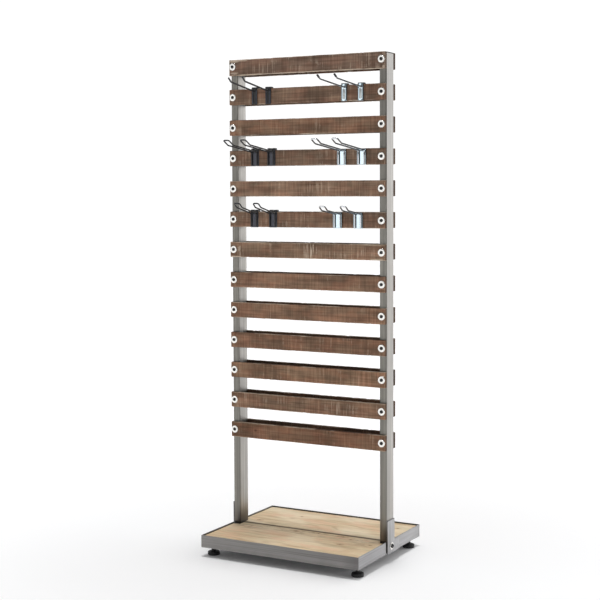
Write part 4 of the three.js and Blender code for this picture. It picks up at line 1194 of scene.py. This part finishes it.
# ------------------------------------------------------------ floor and light
me = bpy.data.meshes.new("floor")
bm = bmesh.new()
bmesh.ops.create_grid(bm, x_segments=8, y_segments=8, size=16.0)
bm.to_mesh(me)
bm.free()
floor = bpy.data.objects.new("floor", me)
bpy.context.scene.collection.objects.link(floor)
F = Mat("studio_floor", 0.0, 0.85)
F.b.inputs["Specular IOR Level"].default_value = 0.1
F.colour(F.ramp(F.noise(F.co, (2, 2, 2), 2, 0.5), [(0.3, (0.972, 0.974, 0.982, 1)), (0.7, (0.982, 0.984, 0.990, 1))]))
fx, fy, fz = F.sep(F.co)
far = F.math("SQRT", F.math("ADD", F.math("MULTIPLY", fx, fx), F.math("MULTIPLY", fy, fy)))
# painted light: the floor glows, faintly near the stand and more strongly with distance, lifting it and its shadow
# toward white
F.b.inputs["Emission Color"].default_value = (1.0, 1.0, 1.0, 1)
F.put(F.b.inputs["Emission Strength"], F.step(far, 0.3, 2.2, 0.022, 0.17))
me.materials.append(F.m)

world = bpy.data.worlds.new("studio")
bpy.context.scene.world = world
world.use_nodes = True
wt = world.node_tree
wt.nodes.clear()
w_out = wt.nodes.new("ShaderNodeOutputWorld")
mix = wt.nodes.new("ShaderNodeMixShader")
wt.links.new(mix.outputs[0], w_out.inputs["Surface"])
lp = wt.nodes.new("ShaderNodeLightPath")
wt.links.new(lp.outputs["Is Camera Ray"], mix.inputs[0])
seen = wt.nodes.new("ShaderNodeBackground")
seen.inputs["Color"].default_value = (1, 1, 1, 1)
seen.inputs["Strength"].default_value = 1.05
glow = wt.nodes.new("ShaderNodeBackground")
wt.links.new(glow.outputs[0], mix.inputs[1])
wt.links.new(seen.outputs[0], mix.inputs[2])
wco = wt.nodes.new("ShaderNodeTexCoord").outputs["Generated"]


def lobe(direction, inner, outer, strength):
    """A soft light in one direction: full inside the inner angle, none past the outer, in degrees."""
    d = wt.nodes.new("ShaderNodeVectorMath")
    d.operation = "DOT_PRODUCT"
    wt.links.new(wco, d.inputs[0])
    d.inputs[1].default_value = Vector(direction).normalized()
    r = wt.nodes.new("ShaderNodeMapRange")
    r.interpolation_type = "SMOOTHSTEP"
    wt.links.new(d.outputs["Value"], r.inputs["Value"])
    r.inputs["From Min"].default_value = math.cos(math.radians(outer))
    r.inputs["From Max"].default_value = math.cos(math.radians(inner))
    r.inputs["To Min"].default_value = 0.0
    r.inputs["To Max"].default_value = strength
    return r.outputs["Result"]


LIGHT = 1.0
AMBIENT = 0.04
LOBES = (((0.0, 0.03, 1), 2.5, 6, 64.0), ((0, 0, 1), 20, 80, 0.51), ((0.75, 0.62, -0.01), 15, 62, 1.34), ((-1.0, 0.1, 0.1), 15, 60, 0.22),
         ((0.0, 1.0, 0.15), 15, 60, 0.35), ((-0.476, -0.879, 0.05), 7, 12, 1.3), ((-0.476, -0.879, 0.12), 10, 30, 0.22))
total = None
for args in LOBES:
    v = lobe(*args)
    if total is None:
        total = v
    else:
        a = wt.nodes.new("ShaderNodeMath")
        a.operation = "ADD"
        wt.links.new(total, a.inputs[0])
        wt.links.new(v, a.inputs[1])
        total = a.outputs[0]
a = wt.nodes.new("ShaderNodeMath")
a.operation = "ADD"
wt.links.new(total, a.inputs[0])
a.inputs[1].default_value = AMBIENT
g = wt.nodes.new("ShaderNodeMath")
g.operation = "MULTIPLY"
wt.links.new(a.outputs[0], g.inputs[0])
g.inputs[1].default_value = LIGHT
wt.links.new(g.outputs[0], glow.inputs["Strength"])
glow.inputs["Color"].default_value = (1.0, 1.0, 1.0, 1)

# -------------------------------------------------------------------- camera
YAW, PITCH, ROLL = 0.5056073, -0.0567451, -0.0040190
CAM = Vector((2055.313, -3785.919, 1186.543)) * MM
fwd = Vector((-math.sin(YAW) * math.cos(PITCH), math.cos(YAW) * math.cos(PITCH), math.sin(PITCH)))
right = Vector((math.cos(YAW), math.sin(YAW), 0))
up = right.cross(fwd)
r2 = right * math.cos(ROLL) + up * math.sin(ROLL)
u2 = -right * math.sin(ROLL) + up * math.cos(ROLL)
data = bpy.data.cameras.new("camera")
data.sensor_width = 36.0
data.lens = 1331.6475 / 600 * 36.0
data.shift_y = -36.0 / 600
data.dof.use_dof = False
data.clip_start, data.clip_end = 0.05, 100
cam = bpy.data.objects.new("camera", data)
bpy.context.scene.collection.objects.link(cam)
m = Matrix((r2, u2, -fwd)).transposed().to_4x4()
m.translation = CAM
cam.matrix_world = m
bpy.context.scene.camera = cam

view = bpy.context.scene.view_settings
view.view_transform = "Standard"
view.look = "None"
view.exposure = 0.0
view.gamma = 1.0
